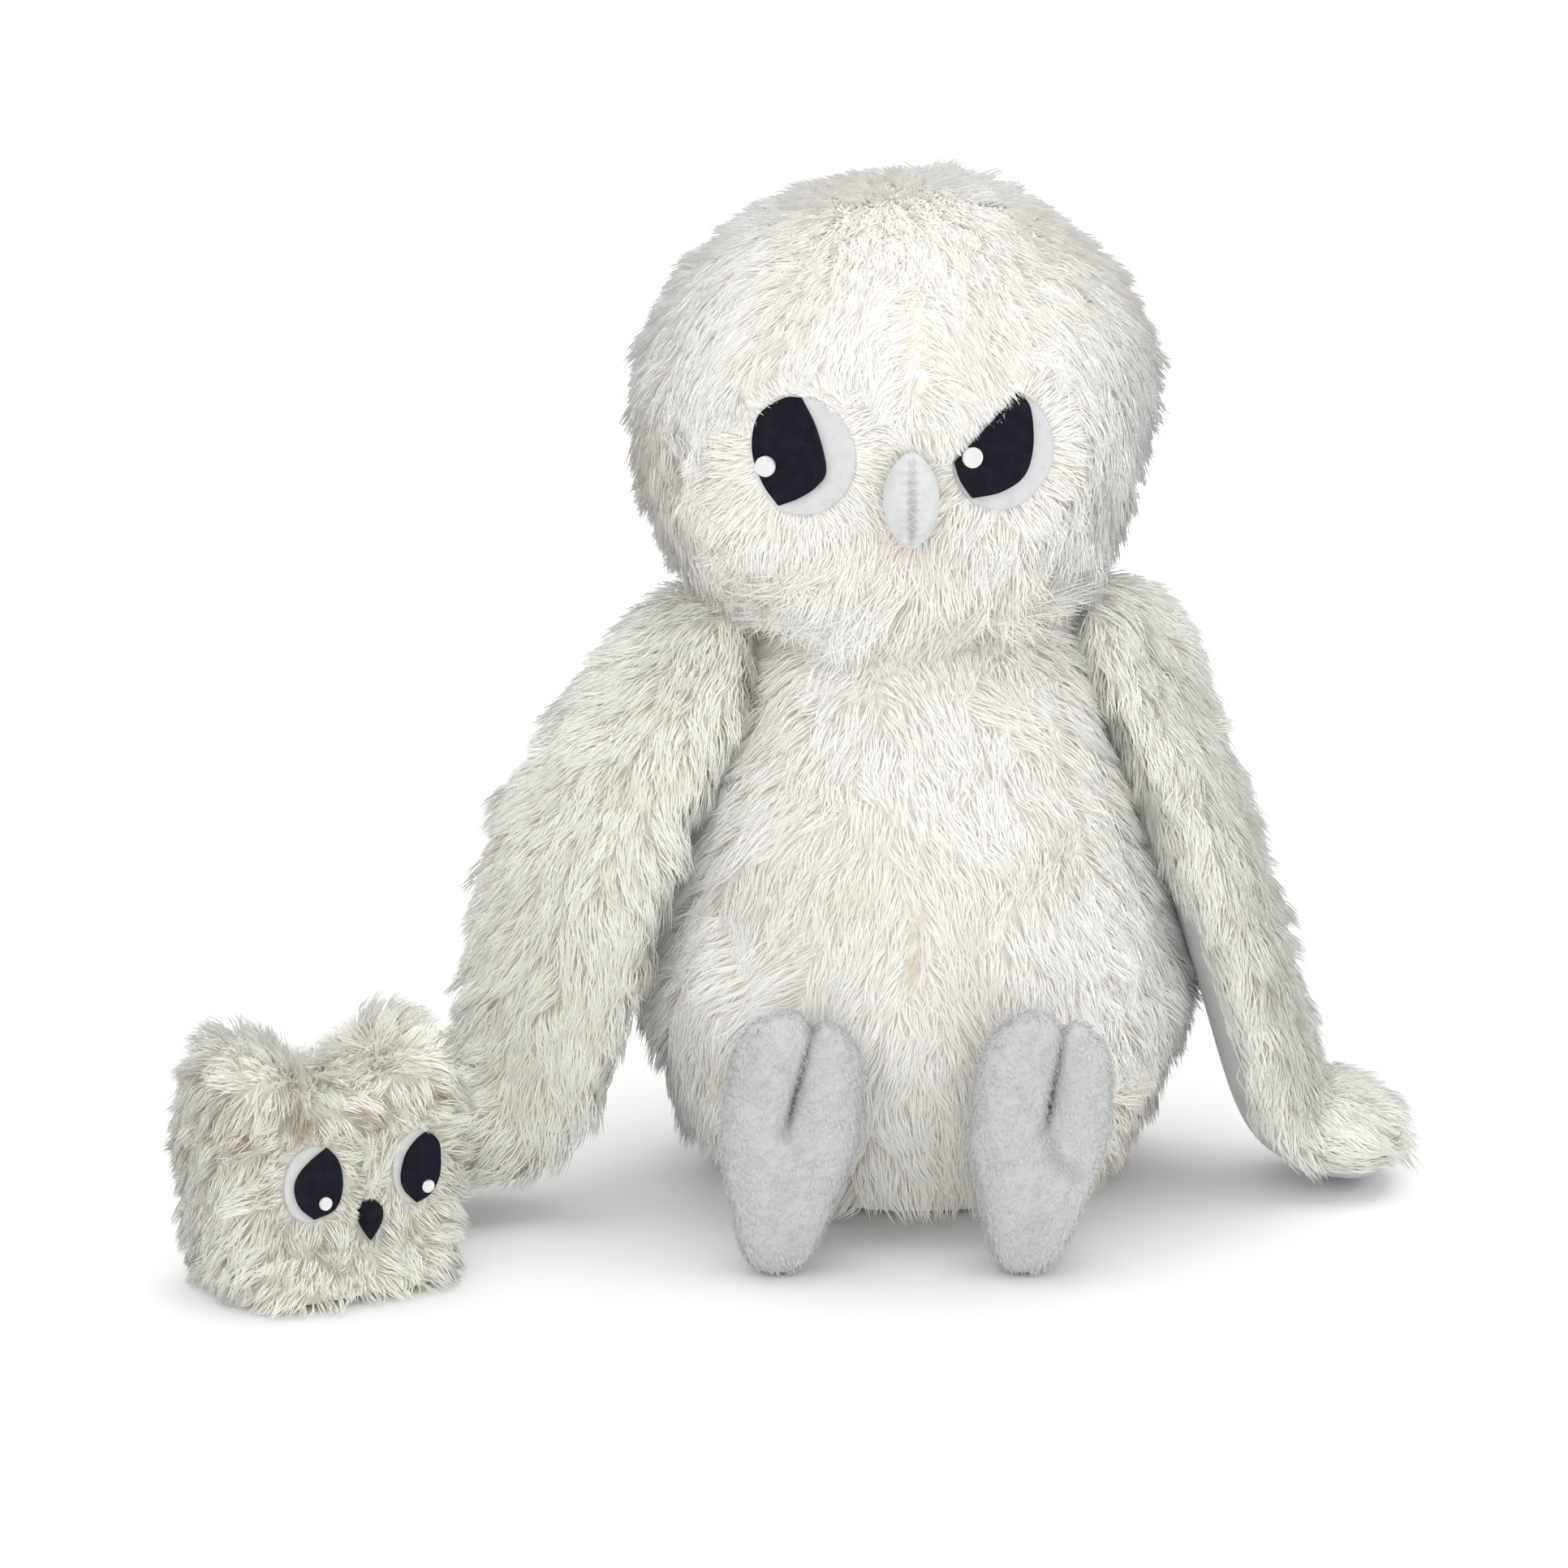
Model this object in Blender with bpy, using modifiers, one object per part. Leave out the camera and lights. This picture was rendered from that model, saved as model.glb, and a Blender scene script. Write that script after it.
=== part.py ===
"""A seated plush owl with a baby owl on its wing: fur covers, velour feet, stuffing and seams.

Lengths are in metres and +Z is up. The viewer stands at -Y, and left and right are the viewer's.
The origin is the middle of the flat seat under the body.
"""

import math

import bmesh
import bpy
import numpy as np
from mathutils import Matrix, Vector

# Fits and cloths that every piece shares
gap = 0.0003
overrun = 0.012
fill_ease_share = 1.4
flat_depth = 0.0005
fur_wall = 0.008
velour_wall = 0.0022
felt_thickness = 0.0014
thread_radius = 0.0008

# Body: a pear with a round top that the head turns on
belly_half_width = 0.0795
belly_height = 0.060
side_half_width = 0.070
side_height = 0.098
side_lean = math.radians(17)
body_depth_share = 0.95
neck_height = 0.125
dome_ease = 0.0005
pellet_fill_height = 0.034
closing_seam_length = 0.044
closing_seam_height = 0.062
closing_slot_width = 0.004
closing_stitch_pitch = 0.0055

# Head: a wide sack with its middle a little to the left
head_half_width = 0.0755
head_half_depth = 0.0640
head_bottom = 0.156
head_height = 0.138
head_shift = -0.005
neck_opening_radius = 0.020
neck_thread_ring_radius = 0.008

# Eyes and beak of the big owl
eye_height = 0.2195
eye_spread = 0.0282
eye_middle = -0.0062
eye_radius = 0.0166
eye_pocket_depth = 0.0042
glint_radius = 0.0031
beak_height = 0.2085
beak_middle = -0.0032
beak_width = 0.0152
beak_length = 0.0290
beak_depth = 0.0150

# Wings: flat sacks, fur outside and velour against the body
wing_top_height = 0.156
wing_standoff = 0.0026
wing_half_width = 0.0305
wing_half_thickness = 0.0135
wing_bend_radius = 0.022
wing_seam_share = 0.43
wing_seam_margin = 0.0025
right_wing_turn = math.radians(5)
right_wing_twist = 0.0
right_hand_height = 0.0138
right_hand_length = 0.014
left_wing_turn = math.radians(15)
left_wing_twist = math.radians(34)
left_hand_height = 0.0215
left_hand_length = 0.046
shoulder_ring_radius = 0.010
shoulder_ring_drop = 0.017
shoulder_ring_ease = 0.0004

# Legs and feet
foot_spread = 0.0335
foot_shift = -0.0015
foot_width = 0.0370
foot_thickness = 0.0215
foot_height = 0.0740
foot_back = 0.0780
foot_slit_height = 0.040
toe_slit_width = 0.0030
leg_radius = 0.0110
leg_height = 0.0205

# Baby owl
baby_x = -0.160
baby_y = -0.088
baby_turn = math.radians(30)
baby_width = 0.0740
baby_thickness = 0.0460
baby_height = 0.0760
baby_ear_height = 0.0150
baby_pellet_fill_height = 0.020
baby_opening_radius = 0.007
baby_eye_height = 0.0345
baby_eye_spread = 0.0155
baby_eye_half_width = 0.0088
baby_eye_half_height = 0.0104
baby_eye_pocket_depth = 0.0036
baby_glint_radius = 0.0019
baby_beak_height = 0.0225
baby_beak_width = 0.0070
baby_beak_length = 0.0100
baby_beak_depth = 0.0070
patch_radius = 0.0075
patch_thickness = 0.0010

X, Y, Z = Vector((1, 0, 0)), Vector((0, 1, 0)), Vector((0, 0, 1))

for leftover in list(bpy.data.objects):
    bpy.data.objects.remove(leftover)

owl = bpy.data.collections.new("plush_owl")
cutters = bpy.data.collections.new("cutters")
bpy.context.scene.collection.children.link(owl)
bpy.context.scene.collection.children.link(cutters)


def finish(name, colour, roughness):
    """A plain Principled material."""
    material = bpy.data.materials.new(name)
    material.use_nodes = True
    shader = material.node_tree.nodes["Principled BSDF"]
    shader.inputs["Base Color"].default_value = (*colour, 1)
    shader.inputs["Roughness"].default_value = roughness
    return material


cream_fur = (0.86, 0.83, 0.77)
grey_fur = (0.62, 0.62, 0.56)
grey_velour = (0.55, 0.59, 0.62)
pale_felt = (0.78, 0.79, 0.82)
night_felt = (0.010, 0.012, 0.022)
white_fill = (0.90, 0.90, 0.88)


def add(name, mesh_or_bmesh, colour=None, roughness=0.9):
    """A new object, in the owl's collection if it has a colour and among the cutters if not."""
    if isinstance(mesh_or_bmesh, bmesh.types.BMesh):
        mesh = bpy.data.meshes.new(name)
        mesh_or_bmesh.to_mesh(mesh)
        mesh_or_bmesh.free()
    else:
        mesh = mesh_or_bmesh
    obj = bpy.data.objects.new(name, mesh)
    if colour:
        owl.objects.link(obj)
        mesh.materials.append(finish(name, colour, roughness))
    else:
        cutters.objects.link(obj)
        obj.hide_render = True
        obj.display_type = "WIRE"
    return obj


def boolean(obj, other, operation="DIFFERENCE"):
    modifier = obj.modifiers.new(other.name, "BOOLEAN")
    modifier.operation = operation
    modifier.solver = "EXACT"
    modifier.object = other


def soften(obj, level):
    modifier = obj.modifiers.new("soft", "SUBSURF")
    modifier.levels = level
    modifier.render_levels = level
    split = obj.modifiers.new("split", "TRIANGULATE")
    split.quad_method = "FIXED"


def filling(name, hollow):
    """A fill that lies in a hollow, clear of its wall by the gap."""
    obj = add(name, hollow.data.copy(), white_fill)
    soften(obj, hollow.modifiers["soft"].levels)
    bpy.context.view_layer.update()
    obj.matrix_world = hollow.matrix_world
    ease = obj.modifiers.new("ease", "DISPLACE")
    ease.mid_level = 0
    ease.strength = -fill_ease_share * gap
    return obj


def face_outwards(bm):
    """Turns every face of a closed mesh to point out of it."""
    bmesh.ops.recalc_face_normals(bm, faces=bm.faces)
    if bm.calc_volume(signed=True) < 0:
        bmesh.ops.reverse_faces(bm, faces=bm.faces)


def evaluated(obj):
    """The object's mesh in world space with its modifiers applied."""
    bpy.context.view_layer.update()
    return bpy.data.meshes.new_from_object(obj.evaluated_get(bpy.context.evaluated_depsgraph_get()))


def through(points):
    """Cage points whose smooth surface passes through the given ones, with both ends kept."""
    count = len(points)
    weights = np.eye(count)
    for i in range(1, count - 1):
        weights[i, i - 1:i + 2] = np.array((1, 4, 1)) / 6
    return np.linalg.solve(weights, np.array([list(p) for p in points]))


def ring_cage(rings, sides):
    """A closed cage round a row of rings, each a centre and the two half-axes of its section."""
    rows = len(rings) - 1
    round_share = (2 + math.cos(math.tau / sides)) / 3
    centres = through([ring[0] for ring in rings])
    wide = through([ring[1] / round_share for ring in rings])
    thick = through([ring[2] / round_share for ring in rings])
    bm = bmesh.new()
    bmesh.ops.create_cone(bm, cap_ends=True, segments=sides, radius1=1, radius2=1, depth=rows)
    bmesh.ops.translate(bm, verts=bm.verts, vec=Z * rows / 2)
    for row in range(1, rows):
        bmesh.ops.bisect_plane(
            bm, geom=bm.verts[:] + bm.edges[:] + bm.faces[:], plane_co=Z * row, plane_no=Z)
    for v in bm.verts:
        i = round(v.co.z)
        v.co = Vector(centres[i]) + Vector(wide[i]) * v.co.x + Vector(thick[i]) * v.co.y
    face_outwards(bm)
    return bm


def level_ring(z, half_width, half_depth, x=0.0, y=0.0):
    return Vector((x, y, z)), X * half_width, Y * half_depth


def box(name, low, high, placed=None):
    bm = bmesh.new()
    bmesh.ops.create_cube(bm, size=1)
    low, high = Vector(low), Vector(high)
    bmesh.ops.scale(bm, verts=bm.verts, vec=high - low)
    bmesh.ops.translate(bm, verts=bm.verts, vec=(low + high) / 2)
    obj = add(name, bm)
    if placed:
        obj.matrix_world = placed
    return obj


def disc(radius, thickness, segments=24, bottom=0.0):
    """A round plate that stands on the plane z = bottom."""
    bm = bmesh.new()
    bmesh.ops.create_cone(
        bm, cap_ends=True, segments=segments, radius1=radius, radius2=radius, depth=thickness)
    bmesh.ops.translate(bm, verts=bm.verts, vec=Z * (bottom + thickness / 2))
    return bm


def facing(point, outward):
    """A place whose Z axis points along outward, with its Y axis as near upright as can be."""
    z_axis = outward.normalized()
    x_axis = Z.cross(z_axis).normalized()
    y_axis = z_axis.cross(x_axis)
    turn = Matrix((x_axis, y_axis, z_axis)).transposed().to_4x4()
    return Matrix.Translation(point) @ turn


def thread_ring(name, radius, placed, colour):
    """A ring of sewing thread."""
    mesh = bpy.data.meshes.new(name)
    obj = add(name, mesh, colour)
    bm = bmesh.new()
    bmesh.ops.create_circle(bm, segments=6, radius=thread_radius)
    bmesh.ops.rotate(bm, verts=bm.verts, matrix=Matrix.Rotation(math.pi / 2, 3, "X"))
    bmesh.ops.translate(bm, verts=bm.verts, vec=X * radius)
    bmesh.ops.spin(
        bm, geom=bm.edges[:], axis=Z, cent=(0, 0, 0), steps=16, angle=math.tau, use_merge=True)
    bmesh.ops.remove_doubles(bm, verts=bm.verts, dist=thread_radius / 10)
    face_outwards(bm)
    bm.to_mesh(mesh)
    bm.free()
    obj.matrix_world = placed
    return obj


def outline_plate(name, points, thickness, placed, colour):
    """A flat plate of felt, cut to an outline of points in its own plane."""
    curve = bpy.data.curves.new(name, "CURVE")
    curve.dimensions = "2D"
    curve.fill_mode = "BOTH"
    curve.extrude = thickness / 2
    spline = curve.splines.new("POLY")
    spline.points.add(len(points) - 1)
    for p, (x, y) in zip(spline.points, points):
        p.co = (x, y, 0, 1)
    spline.use_cyclic_u = True
    scratch = bpy.data.objects.new(name, curve)
    cutters.objects.link(scratch)
    mesh = evaluated(scratch)
    bpy.data.objects.remove(scratch)
    bm = bmesh.new()
    bm.from_mesh(mesh)
    bmesh.ops.remove_doubles(bm, verts=bm.verts, dist=thickness / 100)
    bmesh.ops.translate(bm, verts=bm.verts, vec=Z * thickness / 2)
    face_outwards(bm)
    obj = add(name, bm, colour)
    obj.matrix_world = placed
    return obj


def pivot(name, point):
    """An empty on a joint's axis, which the moving pieces hang from."""
    empty = bpy.data.objects.new(name, None)
    owl.objects.link(empty)
    empty.location = point
    return empty


def carry(empty, pieces):
    """Parents the pieces to the empty and leaves them where they are."""
    bpy.context.view_layer.update()
    for piece in pieces:
        stands = piece.matrix_world.copy()
        piece.parent = empty
        piece.matrix_parent_inverse = empty.matrix_world.inverted()
        piece.matrix_world = stands


# Body
lean_cos, lean_sin = math.cos(side_lean), math.sin(side_lean)
neck = Vector((0, 0, neck_height))
dome_radius = side_half_width * lean_cos + (side_height - neck_height) * lean_sin
body_low_shares = ((0.0, 0.40), (0.02, 0.60), (0.22, 0.765), (0.60, 0.93), (1.0, 1.0))
dome_angles = (math.pi / 2 - side_lean, math.radians(43), math.radians(16))


def body_rings(inset):
    """Rings of the body's form, from the seat to the top, drawn in by inset."""
    rings = []
    for height_share, width_share in body_low_shares:
        half = belly_half_width * width_share - inset
        z = height_share * (belly_height - inset) + inset
        rings.append(level_ring(z, half, half * body_depth_share))
    rings[0] = level_ring(inset - flat_depth, *[axis.length for axis in rings[0][1:]])
    rings.append(level_ring(side_height, side_half_width - inset, side_half_width - inset))
    for angle in dome_angles:
        radius = dome_radius - dome_ease - inset
        rings.append(level_ring(
            neck_height + radius * math.cos(angle), radius * math.sin(angle), radius * math.sin(angle)))
    return rings


body_cover = add("body_cover", ring_cage(body_rings(0.0), 6), cream_fur)
soften(body_cover, 2)
body_hollow = add("body_hollow", ring_cage(body_rings(fur_wall), 6))
soften(body_hollow, 1)
reach = belly_half_width + overrun
under_seat = box("under_seat", (-reach, -reach, -overrun), (reach, reach, 0))
boolean(body_cover, body_hollow)
boolean(body_cover, under_seat)

body_stuffing = filling("body_stuffing", body_hollow)
below_fill = box("below_fill", (-reach, -reach, -overrun), (reach, reach, pellet_fill_height + gap))
boolean(body_stuffing, below_fill)
body_pellet_bag = filling("body_pellet_bag", body_hollow)
above_fill = box(
    "above_fill", (-reach, -reach, pellet_fill_height), (reach, reach, neck_height + dome_radius + overrun))
boolean(body_pellet_bag, above_fill)

# The closing seam is a slot down the back, drawn together by a zigzag thread
back = belly_half_width * body_depth_share
closing_slot = box(
    "closing_slot",
    (-closing_slot_width / 2, back - fur_wall - overrun, closing_seam_height - closing_seam_length / 2),
    (closing_slot_width / 2, back + overrun, closing_seam_height + closing_seam_length / 2))
boolean(body_cover, closing_slot)


def closing_thread():
    """The zigzag thread in the slot, as deep as half the cover's wall."""
    reach_x = closing_slot_width / 2 - gap - thread_radius
    turns = int((closing_seam_length - 2 * closing_stitch_pitch) / closing_stitch_pitch)
    start = closing_seam_height - turns * closing_stitch_pitch / 2
    curve = bpy.data.curves.new("closing_thread", "CURVE")
    curve.dimensions = "3D"
    curve.bevel_depth = thread_radius
    curve.bevel_resolution = 0
    curve.use_fill_caps = True
    spline = curve.splines.new("POLY")
    spline.points.add(turns)
    for i, p in enumerate(spline.points):
        x = reach_x if i % 2 else -reach_x
        p.co = (x, back - fur_wall / 2, start + i * closing_stitch_pitch, 1)
    scratch = bpy.data.objects.new("closing_thread", curve)
    cutters.objects.link(scratch)
    mesh = evaluated(scratch)
    bpy.data.objects.remove(scratch)
    bm = bmesh.new()
    bm.from_mesh(mesh)
    bmesh.ops.remove_doubles(bm, verts=bm.verts, dist=thread_radius / 100)
    face_outwards(bm)
    return add("body_closing_thread", bm, cream_fur)


closing_thread()

# Head
head_shares = (
    (0.0, 0.46, 0.8), (0.085, 0.75, 0.9), (0.26, 0.905, 1.0), (0.49, 1.0, 1.2),
    (0.69, 0.935, 0.8), (0.86, 0.665, 0.4), (0.968, 0.30, 0.0))
head_depth_share = head_half_depth / head_half_width


def head_rings(grow):
    """Rings of the head's form, from its underside to its crown, let out by grow."""
    rings = []
    for height_share, width_share, shift_share in head_shares:
        half = head_half_width * width_share + grow
        rings.append(level_ring(
            head_bottom + head_height * height_share, half, half * head_depth_share,
            head_shift * shift_share))
    return rings


head_hollow_shares = ((0.0, 0.52), (0.2, 0.86), (0.45, 1.0), (0.75, 0.82), (1.0, 0.30))


def head_hollow_rings(inset):
    """Rings of the hollow in the head, above its cup."""
    low = neck_height + dome_radius + inset
    high = head_bottom + head_height * head_shares[-1][0] - inset
    rings = []
    for height_share, width_share in head_hollow_shares:
        half = (head_half_width - inset) * width_share
        rings.append(level_ring(
            low + (high - low) * height_share, half, half * head_depth_share, head_shift))
    return rings


head_cover = add("head_cover", ring_cage(head_rings(0.0), 6), cream_fur)
soften(head_cover, 2)
head_hollow = add("head_hollow", ring_cage(head_hollow_rings(fur_wall), 6))
soften(head_hollow, 1)
head_stuffing = filling("head_stuffing", head_hollow)

cup_mesh = bmesh.new()
bmesh.ops.create_uvsphere(cup_mesh, u_segments=32, v_segments=16, radius=dome_radius + gap)
bmesh.ops.translate(cup_mesh, verts=cup_mesh.verts, vec=neck)
neck_cup = add("neck_cup", cup_mesh)
neck_opening = add("neck_opening", disc(
    neck_opening_radius, dome_radius, 20, bottom=neck_height + dome_radius / 2))
boolean(head_cover, head_hollow)
boolean(head_cover, neck_cup)
boolean(head_cover, neck_opening)

body_top = max(v.co.z for v in evaluated(body_cover).vertices)
neck_thread = thread_ring(
    "neck_thread", neck_thread_ring_radius,
    Matrix.Translation(Z * (body_top + gap + thread_radius)), cream_fur)


def head_face(x, z):
    """A point on the front of the head's form and the way that the form faces there."""
    reach_x = x - head_shift
    y = -head_half_depth * math.sqrt(1 - (reach_x / head_half_width) ** 2)
    outward = Vector((reach_x / head_half_width ** 2, y / head_half_depth ** 2, 0))
    return Vector((x, y, z)), outward


# Pupils are cut from dark felt: one with a flat brow side, one with a slanted brow side
left_pupil_shares = (
    (-0.51, 0.83), (-0.24, 0.93), (0.08, 0.96), (0.34, 0.47), (0.51, -0.20), (0.36, -0.47),
    (0.09, -0.68), (-0.31, -0.84), (-0.58, -0.47), (-0.76, 0.07), (-0.72, 0.54))
right_pupil_shares = (
    (0.36, 0.90), (0.55, 0.74), (0.58, -0.04), (0.49, -0.43), (0.05, -0.60), (-0.43, -0.72),
    (-0.63, -0.43), (-0.72, -0.17), (-0.43, 0.36), (-0.03, 0.66))
left_glint_share = (-0.54, -0.19)
right_glint_share = (-0.50, -0.05)

head_pieces = [head_cover, head_stuffing]
for side, sign, pupil_shares, glint_share in (
        ("left", -1, left_pupil_shares, left_glint_share),
        ("right", 1, right_pupil_shares, right_glint_share)):
    point, outward = head_face(eye_middle + sign * eye_spread, eye_height)
    floor = facing(point - outward.normalized() * eye_pocket_depth, outward)
    pocket = add(f"eye_{side}_pocket", disc(eye_radius + gap, eye_pocket_depth + overrun))
    pocket.matrix_world = floor
    boolean(head_cover, pocket)
    white = add(f"eye_{side}_white", disc(eye_radius, felt_thickness, bottom=gap), pale_felt)
    white.matrix_world = floor
    on_white = gap + felt_thickness + gap
    pupil_points = [(x * eye_radius, y * eye_radius) for x, y in pupil_shares]
    pupil = outline_plate(
        f"eye_{side}_pupil", pupil_points, felt_thickness, floor @ Matrix.Translation(Z * on_white),
        night_felt)
    on_pupil = on_white + felt_thickness + gap
    glint_place = Vector((glint_share[0] * eye_radius, glint_share[1] * eye_radius, 0))
    glint = add(
        f"eye_{side}_glint", disc(glint_radius, felt_thickness / 2, 12, bottom=on_pupil), white_fill)
    glint.matrix_world = floor @ Matrix.Translation(glint_place)
    head_pieces += [white, pupil, glint]


def almond(width, length, depth, point_share=0.35):
    """A beak: a ball drawn out to a point at its top and bottom."""
    bm = bmesh.new()
    bmesh.ops.create_uvsphere(bm, u_segments=12, v_segments=10, radius=1)
    for v in bm.verts:
        narrow = 1 - point_share * abs(v.co.z) ** 3
        v.co = Vector((
            v.co.x * width / 2 * narrow, v.co.y * depth / 2 * narrow, v.co.z * length / 2))
    return bm


head_grown = add("head_grown", ring_cage(head_rings(gap), 6))
soften(head_grown, 2)
beak_place, beak_outward = head_face(beak_middle, beak_height)
beak = add("beak", almond(beak_width, beak_length, beak_depth), grey_velour)
beak.location = beak_place
boolean(beak, head_grown)
head_pieces.append(beak)


# Wings: each lies outside a plane that leans against the body, so its seam can turn and lift it
wing_shares = (
    (0.0, 0.36, 0.40, 0.0), (0.13, 0.74, 0.78, 0.2), (0.40, 0.96, 0.96, 0.9),
    (0.72, 1.0, 1.0, 1.0), (1.0, 1.0, 1.0, 1.0))
hand_shares = ((0.90, 0.98, 1.0), (0.78, 0.96, 0.7), (0.45, 0.62, 0.3))


class WingFrame:
    """The leaning plane of one wing and the way along its spine."""

    def __init__(self, sign, turn, twist, hand_height, hand_length):
        self.out = Vector((sign * math.cos(turn), -math.sin(turn), 0))
        self.forward = Vector((-sign * math.sin(turn), -math.cos(turn), 0))
        self.away = self.out * lean_cos + Z * lean_sin
        self.down = self.out * lean_sin - Z * lean_cos
        plane_radius = side_half_width + (side_height - wing_top_height) * math.tan(side_lean)
        self.top = self.out * (plane_radius + wing_standoff / lean_cos) + Z * wing_top_height
        self.twist = twist
        self.hand_height = hand_height
        self.hand_length = hand_length

    def spine(self):
        """Centre, forward axis, outward axis, half-width and half-thickness of each ring."""
        bend = math.pi / 2 - side_lean
        drop = wing_bend_radius * (1 - math.cos(bend))
        wrist = self.offset(1.0, 1.0, self.twist)
        wrist_height = self.hand_height + drop
        straight = (wing_top_height + wrist * lean_sin - wrist_height) / lean_cos
        for along_share, width_share, thickness_share, twist_share in wing_shares:
            twist = self.twist * twist_share
            offset = self.offset(width_share, thickness_share, twist)
            centre = self.top + self.down * straight * along_share + self.away * offset
            yield centre, self.down, self.away, width_share, thickness_share, twist
        hinge = centre + self.away * wing_bend_radius
        for part, (width_share, thickness_share, twist_share) in enumerate(hand_shares):
            angle = bend * min(1, (part + 1) / 2)
            along = self.down * math.cos(angle) + self.away * math.sin(angle)
            outer = self.away * math.cos(angle) - self.down * math.sin(angle)
            centre = hinge - outer * wing_bend_radius
            if part == len(hand_shares) - 1:
                centre = centre + along * self.hand_length
            yield centre, along, outer, width_share, thickness_share, self.twist * twist_share

    def offset(self, width_share, thickness_share, twist):
        """How far a ring's centre stands off the plane, so that its back just reaches it."""
        thick = wing_half_thickness * thickness_share * math.cos(twist)
        wide = wing_half_width * width_share * math.sin(twist)
        return math.hypot(thick, wide)

    def rings(self, outer_inset=0.0, inner_inset=0.0):
        """Rings of the wing's form, drawn in by outer_inset at the fur and inner_inset at the velour."""
        rings = []
        found = list(self.spine())
        edge_inset = (outer_inset + inner_inset) / 2
        for i, (centre, along, outer, width_share, thickness_share, twist) in enumerate(found):
            across = self.forward * math.cos(twist) - outer * math.sin(twist)
            thick = outer * math.cos(twist) + self.forward * math.sin(twist)
            half_width = max(wing_half_width * width_share - edge_inset, edge_inset / 2)
            half_thickness = max(wing_half_thickness * thickness_share - edge_inset, edge_inset / 4)
            shift = thick * (inner_inset - outer_inset) / 2
            if i == 0:
                shift = along * outer_inset
            if i == len(found) - 1:
                shift = shift - along * outer_inset
            rings.append((centre + shift, across * half_width, thick * half_thickness))
        return rings

    def inner_side(self, sink):
        """A bent block on the body's side of the seam, its face sunk by sink."""
        blocks = []
        found = list(self.spine())
        for i, (centre, along, outer, width_share, thickness_share, twist) in enumerate(found):
            across = self.forward * math.cos(twist) - outer * math.sin(twist)
            thick = outer * math.cos(twist) + self.forward * math.sin(twist)
            seam = wing_half_thickness * thickness_share * wing_seam_share + sink
            deep = wing_half_thickness + overrun
            if i == 0:
                centre = centre - along * overrun
            if i == len(found) - 1:
                centre = centre + along * overrun
            blocks.append((
                centre - thick * (seam + deep / 2),
                across * (wing_half_width * width_share + wing_seam_margin), thick * deep / 2))
        return blocks


def block_cage(blocks):
    """A bent bar with a square section, from a row of centres and half-axes."""
    rows = len(blocks) - 1
    bm = bmesh.new()
    bmesh.ops.create_cube(bm, size=2)
    bmesh.ops.scale(bm, verts=bm.verts, vec=(1, 1, rows / 2))
    bmesh.ops.translate(bm, verts=bm.verts, vec=Z * rows / 2)
    for row in range(1, rows):
        bmesh.ops.bisect_plane(
            bm, geom=bm.verts[:] + bm.edges[:] + bm.faces[:], plane_co=Z * row, plane_no=Z)
    for v in bm.verts:
        centre, wide, thick = blocks[round(v.co.z)]
        v.co = centre + wide * v.co.x + thick * v.co.y
    bmesh.ops.triangulate(bm, faces=bm.faces)
    face_outwards(bm)
    return bm


wing_frames = {
    "left": WingFrame(-1, left_wing_turn, left_wing_twist, left_hand_height, left_hand_length),
    "right": WingFrame(1, right_wing_turn, right_wing_twist, right_hand_height, right_hand_length),
}
wing_pieces = {}
for side, frame in wing_frames.items():
    fur_cover = add(f"wing_{side}_cover", ring_cage(frame.rings(), 8), grey_fur)
    lining = add(f"wing_{side}_lining", ring_cage(frame.rings(), 8), grey_velour)
    for piece in (fur_cover, lining):
        soften(piece, 1)
    hollow = add(f"wing_{side}_hollow", ring_cage(frame.rings(fur_wall, velour_wall), 6))
    soften(hollow, 1)
    stuffing = filling(f"wing_{side}_stuffing", hollow)
    velour_side = add(f"wing_{side}_velour_side", block_cage(frame.inner_side(0.0)))
    velour_block = add(f"wing_{side}_velour_block", block_cage(frame.inner_side(gap)))
    boolean(fur_cover, hollow)
    boolean(fur_cover, velour_side)
    boolean(lining, hollow)
    boolean(lining, velour_block, "INTERSECT")
    seat = (frame.top + frame.down * shoulder_ring_drop
            - frame.away * (gap + shoulder_ring_ease + thread_radius))
    shoulder = thread_ring(
        f"shoulder_{side}_thread", shoulder_ring_radius, facing(seat, frame.away), grey_velour)
    wing_pieces[side] = [fur_cover, lining, stuffing]
    carry(pivot(f"shoulder_{side}_pivot", seat), [shoulder])
    carry(pivot(f"wing_{side}_pivot", frame.top), wing_pieces[side])


# Legs and feet
def fit(obj, width, depth, height):
    """Scales a cage so that its smooth form has the given size, and stands it on its middle."""
    mesh = evaluated(obj)
    points = np.array([v.co[:] for v in mesh.vertices])
    low, high = points.min(axis=0), points.max(axis=0)
    bpy.data.meshes.remove(mesh)
    scale = Vector((width, depth, height))
    for i in range(3):
        scale[i] /= high[i] - low[i]
    middle = Vector(((low[0] + high[0]) / 2, (low[1] + high[1]) / 2, low[2]))
    obj.data.transform(Matrix.Diagonal(scale).to_4x4() @ Matrix.Translation(-middle))


toe_shares = ((0.84, 0.50, 0.94), (1.0, 0.40, 0.62))
heel_width_share = 0.42
heel_thickness_share = 0.60


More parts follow.
